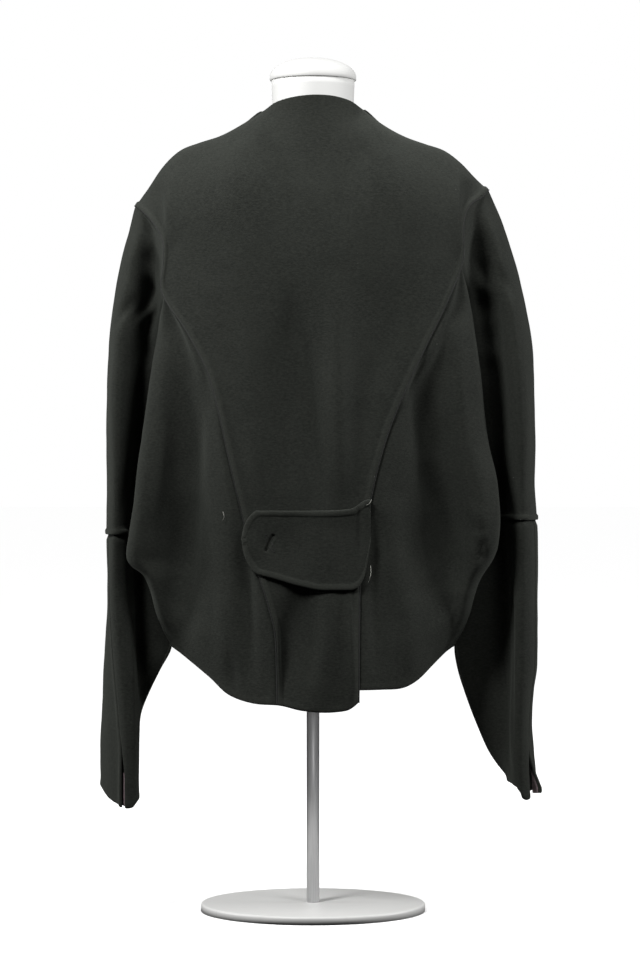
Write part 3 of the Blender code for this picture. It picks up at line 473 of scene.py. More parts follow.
def back_columns(start, end):
    """Places of the centre back's columns between its side edges, closest at the neck and tips."""
    left = [blend(-NECK_HALF_WIDTH, start, share) for share in reversed(SHOULDER_COLUMNS[1:])]
    neck = [NECK_HALF_WIDTH * share for share in NECK_COLUMNS]
    right = [blend(NECK_HALF_WIDTH, end, share) for share in SHOULDER_COLUMNS[1:]]
    return left + neck + right


def back_centre():
    """Centre back: hem to neckline and shoulders, between the princess and armhole seams."""
    left, right = seam_heights(-1), seam_heights(1)
    crown = back_columns(BACK_SEAM[-1]["x"][0], BACK_SEAM[1]["x"][0])
    shares = [(x - crown[0]) / (crown[-1] - crown[0]) for x in crown]
    hem = [blend(BACK_SEAM[-1]["x"][-1], BACK_SEAM[1]["x"][-1], share) for share in shares]
    rows = []
    for low, high in zip(left, right):
        start, end = reading(BACK_SEAM[-1], "x", low), reading(BACK_SEAM[1], "x", high)
        row = []
        for share, hem_x, crown_x in zip(shares, hem, crown):
            foot, top = reading(HEM, "z", hem_x, along="x"), reading(OUTLINE, "z", crown_x, along="x")
            left_up = (low - left[0]) / (left[-1] - left[0])
            right_up = (high - right[0]) / (right[-1] - right[0])
            up = blend(left_up, right_up, share)
            row.append(back_point(blend(start, end, share), blend(foot, top, up)))
        row[0], row[-1] = seam_point(-1, low), seam_point(1, high)
        rows.append(row)
    return rows


def side_back(side):
    """Side-back panel: from the princess seam over its fold into the deep armhole."""
    seam_z, deep_z = seam_heights(side), armhole_heights(side)
    rows = []
    for low, deep in zip(seam_z, deep_z):
        seam = seam_point(side, low)
        t = (deep - deep_z[0]) / (deep_z[-1] - deep_z[0])
        points = [seam]
        for column in ("hollow", "ridge", "edge"):
            z = deep - (1 - t) * (deep_z[0] - hem_height(side, column))
            point = section_point(SIDE_BACK[side], column, max(z, SIDE_HEM_HEIGHT))
            point.z = z
            points.append(point)
        middle = blend(seam, points[1], 0.5)
        middle.y = blend(seam.y, points[1].y, HOLLOW_LEAD)
        points.insert(1, middle)
        points.append(deep_point(side, deep, "back"))
        if not rows:
            points[-1] -= Vector((side * HEM_CORNER_INSET[0], HEM_CORNER_INSET[1], 0.0))
        rows.append(through(points, SIDE_BACK_STEPS))
    follow_hem(rows, deep_z, SLIPPED_HEM[side])
    rows[-1] = panel_tip(side, rows[-2])
    return rows


def follow_hem(rows, heights, least):
    """Bring a side panel's foot to the hem's curve, and the rows above it by less and less."""
    shifts = [max(reading(HEM, "z", point.x, along="x"), least) - point.z for point in rows[0]]
    shifts[0], shifts[-1] = max(0.0, least - rows[0][0].z), 0.0
    for row, height in zip(rows, heights):
        share = 1.0 - smooth_step((height - heights[0]) / HEM_REACH)
        for point, shift in zip(row, shifts):
            point.z += shift * share


def panel_tip(side, next_row):
    """Short top edge of a side panel, where its seams run together under the centre back."""
    top = seam_point(side, ARMHOLE_FOOT[side])
    start, end = blend(top, next_row[0], PANEL_TIP_SHARE), blend(top, next_row[-1], PANEL_TIP_SHARE)
    inset = (end - start) * PANEL_TIP_INSET
    count = len(next_row) - 1
    return [blend(start + inset, end - inset, i / count) for i in range(count + 1)]


def hem_height(side, column):
    """Height of the side panel's hem below one of its columns."""
    return reading(HEM, "z", reading(SIDE_BACK[side], column + "_x", SIDE_HEM_HEIGHT), along="x")


def sleeve_section(side, z, back_end, front_end):
    """Control points of the sleeve at one height, from its back seam to its front seam."""
    columns = SLEEVE[side]
    points = [back_end]
    points += [section_point(columns, column, z) for column in ("roll", "fold", "back", "seam")]
    points.append(Vector((reading(columns, "side_x", z), SLEEVE_SIDE_Y, z)))
    points += [section_point(columns, column, z) for column in ("front", "tuck")]
    points.append(front_end)
    return points


def sleeve_upper(side):
    """Upper sleeve: from the armhole seams round the outside, tip to elbow seam."""
    heights = [z for z in armhole_heights(side)[:-1] if z > ELBOW[side] - SMALL]
    heights += seam_heights(side)[len(lower_levels(side)) - 1:-2]
    rows = []
    for z in heights:
        if z > ARMHOLE_FOOT[side] - SMALL:
            back_end, front_end = seam_point(side, z), front_armhole_point(side, z)
        else:
            back_end, front_end = deep_point(side, z, "back"), deep_point(side, z, "front")
        if z == heights[-1]:
            rows.append(tip_row(side, z, back_end, front_end))
        else:
            rows.append(through(sleeve_section(side, z, back_end, front_end), SLEEVE_STEPS))
    return rows


def tip_row(side, z, back_end, front_end):
    """Top edge of the sleeve, just under the shoulder's end."""
    away = Vector((side * TIP_OUTSET, 0.0, -TIP_DROP))
    marks = [blend(z, ARMHOLE_TIP[side], share) for share in TIP_MARKS]
    top = Vector((BACK_SEAM[side]["x"][0], 0.0, ARMHOLE_TIP[side])) + away
    behind = [seam_point(side, mark) + away for mark in marks]
    before = [front_armhole_point(side, mark) + away for mark in reversed(marks)]
    return through([back_end] + behind + [top] + before + [front_end], TIP_STEPS)


def lower_sleeve(side, half):
    """Back or front piece of the lower sleeve, from the elbow seam to the cuff."""
    heights = [CUFF[side], *CUFF_ROWS, VENT_TOP[side], *ROWS_ABOVE_VENT]
    heights += [z for z in armhole_heights(side) if z < ELBOW[side] + SMALL]
    rows = []
    for z in heights:
        points = sleeve_section(side, z, deep_point(side, z, "back"), deep_point(side, z, "front"))
        opened = smooth_step((VENT_TOP[side] - z) / VENT_EASE) * VENT_GAP[side] / 2
        flare = VENT_FLARE[side] * smooth_step((VENT_TOP[side] - z) / FLARE_REACH)
        seam = points[LOWER_BACK_SPANS]
        along = (points[LOWER_BACK_SPANS + 1] - seam).normalized()
        row = through(points, SLEEVE_STEPS)
        middle = sum(SLEEVE_STEPS[:LOWER_BACK_SPANS])
        if half == "back":
            row = row[:middle + 1]
            row[-1] = seam - along * opened
        else:
            row = row[middle:]
            row[0] = seam + along * opened + Vector((side * flare, 0.0, 0.0))
        rows.append(row)
    shape_cuff(side, rows, heights)
    return rows


def shape_cuff(side, rows, heights):
    """Let the cuff's edge rise towards the sleeve's inner and outer sides."""
    inner, outer = reading(SLEEVE[side], "roll_x", CUFF[side]), reading(SLEEVE[side], "side_x", CUFF[side])
    for row, height in zip(rows, heights):
        share = 1.0 - smooth_step((height - CUFF[side]) / CUFF_REACH)
        for point in row:
            across = (point.x - inner) / (outer - inner)
            point.z += reading(CUFF_SHAPE[side], "rise", across, along="share") * MM * share


def front(side):
    """Front: from its centre edge round to the deep armhole, neckline and shoulder at its top."""
    seam_z, deep_z = seam_heights(side), armhole_heights(side)
    outer_z = deep_z + seam_z[len(deep_z):]
    tip = abs(BACK_SEAM[side]["x"][0])
    crown = flat_columns(NECK_HALF_WIDTH)
    crown += [blend(NECK_HALF_WIDTH, tip, share) for share in SHOULDER_COLUMNS[1:]]
    rows = []
    for row_index, z_out in enumerate(outer_z):
        rise = share_of_rise(side, row_index)
        middle_rise = (rise + share_of_rise(-side, row_index)) / 2
        deep = z_out < ARMHOLE_FOOT[side] - SMALL
        end = deep_point(side, z_out, "front") if deep else front_armhole_point(side, z_out)
        turn = blend(NECK_HALF_WIDTH, FRONT_TURN, smooth_step((outer_z[-1] - z_out) / FRONT_TURN_REACH))
        flat = flat_columns(turn)
        if not deep:
            flat += [blend(turn, abs(end.x), share) for share in SHOULDER_COLUMNS[1:]]
        row = []
        for i, x in enumerate(flat):
            foot = blend(FRONT_HEM_HEIGHT, SIDE_HEM_HEIGHT, (i / (len(crown) - 1)) ** 2)
            up = blend(middle_rise, rise, min(max(i - 2, 0) / 2, 1.0))
            row.append(over_front(side, front_point(side * x, blend(foot, front_top(side, crown[i]), up))))
        if deep:
            ridge = section_point(FRONT_SIDE, "ridge", z_out)
            edge = section_point(FRONT_SIDE, "edge", z_out)
            ridge.x *= side
            edge.x *= side
            if not rows:
                end += Vector((-side * HEM_CORNER_INSET[0], HEM_CORNER_INSET[1], 0.0))
            row = row[:-1] + through([row[-1], ridge, edge, end], FRONT_SIDE_STEPS)
        else:
            row[-1] = end
        rows.append(row)
    return rows


def flat_columns(turn):
    """Places of a front's columns from its centre edge to its turn, alike on both fronts where they lap."""
    return [-FRONT_OVERLAP, 0.0, FRONT_OVERLAP, (FRONT_OVERLAP + turn) / 2, turn]


def share_of_rise(side, row_index):
    """How far up the armhole seam a row of a front lies, from 0 to 1."""
    foot, tip = SIDE_HEM_HEIGHT, ARMHOLE_TIP[side]
    heights = armhole_heights(side)
    heights += seam_heights(side)[len(heights):]
    return (heights[row_index] - foot) / (tip - foot)


def front_top(side, reach):
    """Height of a front's top edge: round neckline, then the shoulder."""
    if reach < NECK_HALF_WIDTH - SMALL:
        t = abs(reach) / NECK_HALF_WIDTH
        return blend(FRONT_NECK_HEIGHT, SIDE_NECK_HEIGHT, 1 - math.sqrt(1 - t * t))
    return reading(OUTLINE, "z", side * reach, along="x")


def over_front(side, point):
    """Raise the right front where it lies over the left one."""
    if side < 0:
        return point
    lap = 1.0 - smooth_step((point.x - LAP_HOLD) / LAP_EASE)
    lap *= smooth_step((SIDE_NECK_HEIGHT - LAP_BELOW_NECK - point.z) / LAP_EASE)
    return point + Vector((0.0, lap * (CLOTH_WALL + LAP_CLEARANCE), 0.0))


def tab_point(x, z):
    """Point on the tab's outer side, as seen from behind at x and z."""
    point = back_point(x, z)
    point.y -= CLOTH_WALL + TAB_CLEARANCE + max(fold_depth(x, z), 0.0)
    return point


def tab():
    """Half-belt tab over the back waist, with a round left end."""
    shares = [step / TAB_STEPS for step in range(TAB_STEPS + 1)]
    shares = [share ** TAB_ROUND_POWER if share < TAB_ROUND_SHARE else share for share in shares]
    places = [blend(TAB["x"][0], TAB["x"][-1], share) for share in shares]
    ends = [[reading(TAB, name, x, along="x") for x in places] for name in ("bottom", "top")]
    return [[tab_point(x, blend(low, high, row / TAB_ROWS)) for x, low, high in zip(places, *ends)]
            for row in range(TAB_ROWS + 1)]


def vent_facing(side, flap):
    """Facing on the inner side of the vent's flap, from a little past or short of the flap's edge."""
    rows = []
    for row in flap:
        if row[0].z > VENT_TOP[side] - SEAM_GAP:
            break
        start = row[0] + (row[1] - row[0]).normalized() * FACING_START[side]
        line = [start] + row[1:FACING_COLUMNS]
        rows.append([point + Vector((-side * (CLOTH_WALL + FACING_GAP), 0.0, 0.0)) for point in line])
    return rows


# What is done at a cut edge, in millimetres: how far it stands out, how wide, how soft and how round its
# rim, and as a share how much paler it is painted, partly for wear and partly as a painted highlight on the
# rim
EDGE_FORMS = {
    "over": {"rise": 1.7, "width": 5.0, "ease": 2.6, "rim": 0.7, "worn_and_lit": 0.9},
    "under": {"rise": -1.8, "width": 1.2, "ease": 6.0, "rim": 0.3, "worn_and_lit": 0.0},
    "flap": {"rise": 0.6, "width": 4.0, "ease": 3.0, "rim": 0.9, "worn_and_lit": 0.6},
    "hem": {"rise": 0.35, "width": 6.0, "ease": 4.0, "rim": 1.3, "worn_and_lit": 0.3},
    "turned": {"rise": 1.1, "width": 6.0, "ease": 2.2, "rim": 1.2, "worn_and_lit": 0.9},
    "plain": {"rise": 0.0, "width": 0.0, "ease": 1.0, "rim": 0.6, "worn_and_lit": 0.0}}
RIM_REACH = 2.2 * MM
RIM_STEPS = (0.5, 1.2, 2.2)

# Creases and drape fade over CALM_REACH at an edge, and edges take at most EDGE_SHARE of a short row
CALM_REACH = 9.0 * MM
EDGE_SHARE = 0.7
LEAST_SPANS = 3
SMOOTHINGS = 2
TAB_FINENESS = 3.0

# Slight unevenness of the thick cloth: how many waves in a metre, and how high they are
DRAPE = ((16.0, 0.9 * MM), (45.0, 0.35 * MM))

# Soft creases, deep if positive: from top to foot, bowed aside, on the side that faces -1 back or 1 front
CREASE_NAMES = "top_x top_z foot_x foot_z bow width depth facing"
FACING_SHARPNESS = 2.5
CREASES = {
    "back_centre": (
        (-197, 905, -189, 838, 2, 9, 4.0, -1), (-178, 918, -176, 822, 1, 7, -2.6, -1),
        (196, 908, 190, 842, -2, 9, 4.0, -1), (178, 922, 178, 806, -1, 7, -3.2, -1),
        (118, 850, 74, 640, 8, 20, 4.0, -1), (-108, 800, -84, 640, -5, 24, 2.0, -1),
        (-150, 860, -112, 770, -8, 26, 1.6, -1), (-36, 800, 4, 465, 10, 13, 7.5, -1),
        (30, 790, 36, 516, -2, 15, -5.0, -1), (66, 690, 52, 500, 2, 14, 3.5, -1),
        (-76, 610, -58, 505, -3, 14, -2.5, -1),
        (-14, 430, -42, 258, 3, 20, 9.0, -1), (20, 420, 8, 258, 2, 16, -4.0, -1),
        (44, 414, 50, 268, 0, 6, -4.0, -1)),
    "side_back_left": (
        (-124, 700, -166, 420, -8, 20, 8.0, -1), (-184, 720, -198, 480, 6, 13, -5.0, -1),
        (-150, 520, -160, 320, -4, 15, 8.0, -1), (-100, 610, -112, 400, 3, 20, -3.0, -1),
        (-84, 500, -74, 290, -2, 9, 6.0, -1), (-102, 330, -96, 276, 1, 6, 2.0, -1),
        (-114, 420, -108, 300, 2, 10, -2.0, -1)),
    "side_back_right": (
        (112, 720, 150, 500, 6, 19, 8.0, -1), (140, 560, 178, 400, 5, 14, 8.0, -1),
        (178, 740, 202, 480, -8, 14, -6.0, -1), (98, 520, 108, 370, -3, 18, -4.0, -1),
        (78, 500, 76, 300, 2, 9, 4.0, -1), (120, 400, 116, 300, 2, 12, -3.0, -1),
        (196, 512, 204, 478, 2, 5, -3.0, -1), (205, 466, 207, 438, 0, 4, 5.0, -1)),
    "sleeve_upper_left": (
        (-214, 700, -222, 520, 2, 7, 2.4, -1), (-236, 720, -244, 560, -2, 9, -2.0, -1),
        (-230, 840, -218, 700, -6, 10, 2.4, 1), (-240, 640, -232, 500, 4, 9, 3.0, 1)),
    "sleeve_upper_right": (
        (226, 800, 238, 560, -2, 7, 3.0, -1), (252, 720, 262, 540, 2, 9, -2.2, -1),
        (240, 820, 232, 660, 5, 10, 2.4, 1), (256, 620, 248, 505, -4, 9, 3.2, 1)),
    "sleeve_lower_back_left": (
        (-218, 500, -205, 170, 0, 8, 7.0, -1), (-230, 490, -219, 190, 0, 4, -1.6, -1)),
    "sleeve_lower_back_right": (
        (238, 500, 240, 190, 0, 9, 7.0, -1), (252, 460, 252, 220, -1, 5, -1.6, -1)),
    "sleeve_lower_front_left": (
        (-250, 450, -236, 330, 4, 9, 2.6, 1), (-240, 320, -246, 190, -3, 8, 2.0, 1)),
    "sleeve_lower_front_right": (
        (262, 460, 250, 330, -4, 9, 2.6, 1), (252, 320, 258, 190, 3, 8, 2.0, 1)),
    "front_left": (
        (-128, 900, -96, 700, -8, 22, 5.0, 1), (-80, 660, -74, 420, 5, 26, 6.0, 1),
        (-140, 640, -150, 380, 4, 18, 5.0, 1), (-40, 560, -36, 330, -2, 18, -3.0, 1),
        (-180, 780, -196, 600, 3, 12, 3.0, 1)),
    "front_right": (
        (126, 905, 98, 690, 8, 22, 5.0, 1), (84, 640, 70, 400, -5, 26, 5.5, 1),
        (144, 630, 154, 370, -4, 18, 5.0, 1), (38, 600, 30, 340, 3, 20, -3.0, 1),
        (182, 790, 198, 610, -3, 12, 3.0, 1)),
}

# Button's slit in the tab, and the worked edge round it
SLIT = {
    "x": -52.0 * MM, "z": 461.0 * MM, "half_length": 12.0 * MM, "width": 1.7 * MM, "depth": 4.0 * MM,
    "lean": math.radians(-26), "edge_half_width": 2.4 * MM, "edge_radius": 0.5 * MM, "edge_lift": 0.2 * MM,
    "edge_steps": 36}

# Soft fold at the tab's sewn end: it is deepest at x and eases in above its foot
TAB_FOLD = {"x": 57.0 * MM, "width": 4.5 * MM, "foot": 425.0 * MM, "ease": 40.0 * MM, "depth": 2.4 * MM}

# Vents that stand open: from this height to that one, and how far the flap's edge moves aside there
VENTS = {"sleeve_lower_front_left": (232, 150, -4.0)}
VENT_REACH = 16.0 * MM

# Soft pulls in the cloth: middle, reach across and depth. Each is longer than wide, and only in the back
PULLS = {
    "back_tab": ((-52, 461, 11, 2), (-26, 456, 22, 2.4), (14, 456, 26, -2.6), (-74, 458, 9, -1.4)),
    "sleeve_upper_left": (
        (-200, 850, 12, 8), (-201, 812, 13, 12), (-202, 775, 14, 13), (-203, 738, 14, 13),
        (-205, 700, 12, 8), (-192, 750, 12, 12), (-188, 840, 9, 4), (-187, 806, 10, 8), (-187, 772, 10, 9)),
    "sleeve_upper_right": (
        (200, 830, 11, 5), (206, 795, 13, 8), (213, 755, 13, 9), (218, 715, 12, 9), (220, 675, 11, 6))}

PULL_SLENDERNESS = 0.7
PULL_FRONT = 50.0 * MM
PULL_FADE = 40.0 * MM

# Near-black thread that lies in the lapped seams, a painted shadow line beside each lap
FELLING_RADIUS = 0.9 * MM
THREAD_INSET = 0.8 * MM
THREAD_STEPS = 6

# Loose threads on the back: both ends as seen from behind, and how far they stand out
LOOSE_RADIUS = 0.25 * MM
LOOSE_STEPS = 8
LOOSE_BOW = 1.5 * MM
LOOSE_LIFT = 1.0 * MM
THREADS = table(
    "x0 z0 x1 z1 lift",
    (-109, 499, -109, 489, 2.5), (64, 506, 71, 514, 5.5), (67, 413, 70, 434, 7))


def hex_colour(text):
    """Linear colour from an sRGB hex text."""
    parts = [int(text[i:i + 2], 16) / 255 for i in (1, 3, 5)]
    return tuple(v / 12.92 if v <= 0.04045 else ((v + 0.055) / 1.055) ** 2.4 for v in parts)


def settings(name):
    """Values of one group of properties."""
    return getattr(bpy.context.scene, name)


def lengths(points):
    """Distance from the first point to each point of a path."""
    marks = [0.0]
    for a, b in zip(points, points[1:]):
        marks.append(marks[-1] + (b - a).length)
    return marks


def walk(points, places):
    """Points of a path at the given distances along it, in rising order."""
    marks = lengths(points)
    found, span = [], 0
    for place in places:
        while span < len(marks) - 2 and marks[span + 1] < place:
            span += 1
        step = marks[span + 1] - marks[span]
        found.append(points[span].lerp(points[span + 1], (place - marks[span]) / step if step else 0.0))
    return found


def edge_steps(kind):
    """Distances in from an edge at which its relief needs points."""
    form = EDGE_FORMS[kind]
    foot = form["width"] + form["ease"]
    wanted = RIM_STEPS + (form["width"], form["width"] + form["ease"] / 2, foot)
    return [value * MM for value in sorted(set(wanted)) if value >= RIM_STEPS[0]]


def spread(length, count, start, end):
    """Distances along a path: close where an edge is shaped, and even between."""
    shrink = min(1.0, EDGE_SHARE * length / (start[-1] + end[-1]))
    first, last = shrink * start[-1], length - shrink * end[-1]
    middle = [blend(first, last, i / count) for i in range(count + 1)]
    before = [shrink * step for step in start[:-1]]
    after = [length - shrink * step for step in end[-2::-1]]
    return [0.0] + before + middle + after + [length]


def respaced(lines, spacing, start, end):
    """Smooth lines through rows of points, all with one number of points, close at their ends."""
    smooth = [through(line, [CURVE_STEPS] * (len(line) - 1)) for line in lines]
    spans = [lengths(line)[-1] for line in smooth]
    count = max(LEAST_SPANS, round(max(spans) / spacing))
    return [walk(line, spread(span, count, start, end)) for line, span in zip(smooth, spans)]


def fine_net(net, spacing, edges):
    """Net with close, even points, from a net of control points."""
    start, end, foot, top = (edge_steps(kind) for kind in edges)
    rows = respaced(net, spacing, start, end)
    columns = respaced([list(column) for column in zip(*rows)], spacing, foot, top)
    return [list(row) for row in zip(*columns)]


def inward_ways(net, side):
    """Smoothed direction through the wall at each point of a net."""
    last_row, last = len(net) - 1, len(net[0]) - 1
    ways = []
    for j in range(last_row + 1):
        row = []
        for i in range(last + 1):
            across = net[j][min(i + 2, last)] - net[j][max(i - 2, 0)]
            up = net[min(j + 2, last_row)][i] - net[max(j - 2, 0)][i]
            row.append(up.cross(across).normalized() * side)
        ways.append(row)
    for _ in range(SMOOTHINGS):
        ways = [[(ways[j][i] * 2 + ways[j][max(i - 1, 0)] + ways[j][min(i + 1, last)]
                  + ways[max(j - 1, 0)][i] + ways[min(j + 1, last_row)][i]).normalized()
                 for i in range(last + 1)] for j in range(last_row + 1)]
    return ways


def edge_distances(net):
    """Distances of each point from the net's start, end, foot and top."""
    along = [lengths(row) for row in net]
    up = [lengths(list(column)) for column in zip(*net)]
    return [[(along[j][i], along[j][-1] - along[j][i], up[i][j], up[i][-1] - up[i][j])
             for i in range(len(net[0]))] for j in range(len(net))]


def relief(kind, distance):
    """How far an edge's own relief stands out at a distance in from it, and how much paler it is painted
    there, for wear and as a painted highlight.
    """
    form = EDGE_FORMS[kind]
    fade = 1.0 - smooth_step((distance / MM - form["width"]) / form["ease"])
    rim = form["rim"] * max(0.0, 1 - distance / RIM_REACH) ** 2
    return (form["rise"] * fade - rim) * MM, form["worn_and_lit"] * fade


def crease_push(rows, point, way):
    """How far the creases push a point inward."""
    push = 0.0
    for row in rows:
        crease = dict(zip(CREASE_NAMES.split(), row))
        t = (crease["top_z"] * MM - point.z) / ((crease["top_z"] - crease["foot_z"]) * MM)
        if not 0.0 < t < 1.0:
            continue
        middle = blend(crease["top_x"], crease["foot_x"], t) + crease["bow"] * math.sin(math.pi * t)
        away = (point.x / MM - middle) / crease["width"]
        seen = smooth_step(-crease["facing"] * way.y * FACING_SHARPNESS)
        push += crease["depth"] * MM * seen * math.exp(-away * away) * math.sin(math.pi * t) ** FOLD_EASE
    return push


def pulled(node, point):
    """How far the soft pulls in the back of a piece move a point forward."""
    push = 0.0
    for x, z, reach, depth in PULLS.get(node, ()):
        away = math.hypot(point.x / MM - x, (point.z / MM - z) * PULL_SLENDERNESS) / reach
        push += depth * MM * math.exp(-away * away)
    return push * smooth_step((PULL_FRONT - point.y) / PULL_FADE)


def vent_gap(node, point, distance):
    """How far the edge of an open vent stands aside, more towards the cuff."""
    if node not in VENTS:
        return 0.0
    top, foot, aside = VENTS[node]
    share = smooth_step((top - point.z / MM) / (top - foot))
    return aside * MM * share * (1.0 - smooth_step(distance / VENT_REACH))


def drape(point):
    """Slight unevenness of thick felted cloth."""
    return sum(noise.noise(point * waves) * height for waves, height in DRAPE)


def cloth_mesh(name, outer, inner, worn_and_lit):
    """Closed wall of cloth between two nets, with its edge paling, partly wear and partly painted highlight,
    kept as an attribute.
    """
    across, up = len(outer[0]) - 1, len(outer) - 1
    sheet = bmesh.new()
    wear_and_highlight = sheet.verts.layers.float.new("worn_and_lit")
    bmesh.ops.create_grid(sheet, x_segments=across, y_segments=up, size=0.5)
    made = bmesh.ops.extrude_face_region(sheet, geom=sheet.faces[:], use_keep_orig=True)
    inner_side = {item for item in made["geom"] if isinstance(item, bmesh.types.BMVert)}
    for corner in sheet.verts:
        row, column = round((corner.co.y + 0.5) * up), round((corner.co.x + 0.5) * across)
        # Edge paling of each point: partly wear, partly a painted highlight on the raised rims
        corner[wear_and_highlight] = worn_and_lit[row][column]
        corner.co = (inner if corner in inner_side else outer)[row][column]
    bmesh.ops.recalc_face_normals(sheet, faces=sheet.faces[:])
    return finished(name, sheet)


def finished(name, shape):
    """Mesh object from a bmesh, with smooth faces, in the scene."""
    for face in shape.faces:
        face.smooth = True
    mesh = bpy.data.meshes.new(name)
    shape.to_mesh(mesh)
    shape.free()
    piece = bpy.data.objects.new(name, mesh)
    bpy.context.scene.collection.objects.link(piece)
    return piece


def dress(piece, finish, slot, *nodes):
    """Give a piece its material, its body and the nodes it stands for. The slot argument is not used."""
    piece.data.materials.append(material_of(finish))
    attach(piece, BODY)
    if nodes:
        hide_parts(*nodes)


def shaped_point(node, point, way, gap, edges, wall, extra):
    """Outer and inner point of the cloth and its edge paling, wear and painted highlight, over one point of
    the net.
    """
    cloth = settings("jacket_cloth")
    calm = smooth_step(min(gap) / CALM_REACH)
    push = (crease_push(CREASES.get(node, ()), point, way) * cloth.creases + drape(point)) * calm
    push += extra(point) if extra else 0.0
    reliefs = [relief(kind, distance) for kind, distance in zip(edges, gap)]
    base = point + way * push + Vector((vent_gap(node, point, gap[0]), pulled(node, point), 0.0))
    stands = sum(rise for rise, wear_and_highlight in reliefs)
    return base - way * stands, base + way * wall, max(wear_and_highlight for rise, wear_and_highlight in reliefs)


def cloth_piece(node, net, side, edges, slot="wool", wall=None, extra=None, closer=1.0):
    """Model one cut piece over its node: fine net, creases, edge relief and wall."""
    cloth = settings("jacket_cloth")
    fine = fine_net(net, cloth.spacing * 1.0 / closer, edges)
    shaped = [[shaped_point(node, point, way, gap, edges, wall or cloth.wall, extra)
               for point, way, gap in zip(*lines)]
              for lines in zip(fine, inward_ways(fine, side), edge_distances(fine))]
    outer, inner, worn_and_lit = ([[spot[part] for spot in row] for row in shaped] for part in range(3))
    piece = cloth_mesh(node + "_cloth", outer, inner, worn_and_lit)
    dress(piece, slot, slot, node)
    return piece


# Sockets of a colour mix: share, colour below, colour above and result
FACTOR, UNDER, OVER, MIXED = 0, 6, 7, 2


def add_node(tree, kind, sockets=None, **options):
    """Add a shader node, set its options, and set or link its input sockets."""
    node = tree.nodes.new("ShaderNode" + kind)
    for name, value in options.items():
        setattr(node, name, value)
    for name, value in (sockets or {}).items():
        if isinstance(value, bpy.types.NodeSocket):
            tree.links.new(value, node.inputs[name])
        else:
            node.inputs[name].default_value = value
    return node


def new_material(name):
    """Empty material, its shader tree, and the piece's own place in metres."""
    material = bpy.data.materials.new(name)
    material.use_nodes = True
    tree = material.node_tree
    tree.nodes.clear()
    return material, tree, add_node(tree, "TexCoord").outputs["Object"]


def surface(tree, sockets):
    """Main shader with its sockets, joined to the material's output."""
    shader = add_node(tree, "BsdfPrincipled", sockets)
    add_node(tree, "OutputMaterial", {"Surface": shader.outputs[0]})


def pattern(tree, place, size, stretch=(1.0, 1.0, 1.0), turn=(0.0, 0.0, 0.0), **values):
    """Noise whose features have a real size in metres, packed closer along the stretched axes."""
    spot = add_node(tree, "Mapping", {"Vector": place, "Scale": stretch, "Rotation": turn})
    sockets = {name.capitalize(): value for name, value in values.items()}
    noise_node = add_node(tree, "TexNoise", {"Vector": spot.outputs[0], "Scale": 1.0 / size, **sockets})
    return noise_node.outputs["Fac"]


def layered(tree, base, *layers):
    """Base tone with colours laid over it: a value, its range, the shares there, and the colour."""
    tone = (*base, 1.0)
    for value, (start, end), (low, high), colour_above in layers:
        limits = {"From Min": start, "From Max": end, "To Min": low, "To Max": high}
        part = add_node(tree, "MapRange", {"Value": value, **limits}).outputs[0]
        sockets = {FACTOR: part, UNDER: tone, OVER: (*colour_above, 1.0)}
        tone = add_node(tree, "Mix", sockets, data_type="RGBA").outputs[MIXED]
    return tone


def raised(tree, *layers):
    """Surface with patterns raised on it: each one's value, height in metres and strength."""
    normal = {}
    for value, height, strength in layers:
        bump = add_node(tree, "Bump", {"Height": value, "Distance": height, "Strength": strength, **normal})
        normal = {"Normal": bump.outputs[0]}
    return bump.outputs[0]


def toned(base, factor):
    """Colour made darker or lighter by a factor."""
    return tuple(min(1.0, value * factor) for value in base)


def felted_wool():
    """Felted double-faced wool, woven and then fulled, so that no thread shows.

    The eye gets a matt dark nap, mottled by clumps of fibre of 3 to 4.5 mm that lie crosswise, with wide
    clouds of 70 mm where it was brushed, edges made paler for wear and as a painted highlight, and rare
    specks of lint. Single fibres are 0.03 mm thick, too fine to show, and are drawn 0.9 mm apart.
    """
    cloth = settings("jacket_cloth")
    material, tree, place = new_material("felted_wool_double_faced")
    clouds = pattern(tree, place, 70 * MM, detail=4.0, roughness=0.6)
    flecks = pattern(tree, place, 4.5 * MM, (1.0, 1.0, 2.8), detail=3.0, roughness=0.7)
    mottles = pattern(tree, place, 3 * MM, (1.0, 1.0, 1.4), detail=4.0, roughness=0.7)
    fibres = pattern(tree, place, 0.9 * MM, (1.0, 1.0, 2.2), (0.0, 0.5, 0.0), detail=3.0)
    worn_and_lit = add_node(tree, "Attribute", attribute_name="worn_and_lit", attribute_type="GEOMETRY").outputs["Fac"]
    dark, light = cloth.wool_dark[:], cloth.wool_light[:]
    tone = layered(
        tree, dark,
        (flecks, (0.34, 0.66), (0.0, 1.0), light),
        (clouds, (0.3, 0.7), (0.0, 0.5), light),
        (mottles, (0.35, 0.5), (0.55, 0.0), dark),
        # Paler edges: partly wear, partly a painted highlight where the raised rims catch the light
        (worn_and_lit, (0.0, 1.0), (0.0, cloth.edge_wear_and_highlight), cloth.wool_worn_and_lit[:]),
        (lint_specks(tree, place), (0.0, 1.0), (0.0, 1.0), cloth.lint[:]))
    nap = raised(tree, (mottles, 0.7 * MM, 0.55), (flecks, 0.5 * MM, 0.4), (fibres, 0.35 * MM, 0.6))
    surface(tree, {
        "Base Color": tone, "Roughness": 0.95, "Specular IOR Level": 0.2, "Sheen Weight": cloth.sheen,
        "Sheen Roughness": 0.55, "Sheen Tint": (*cloth.sheen_tint[:], 1.0), "Normal": nap})
    return material


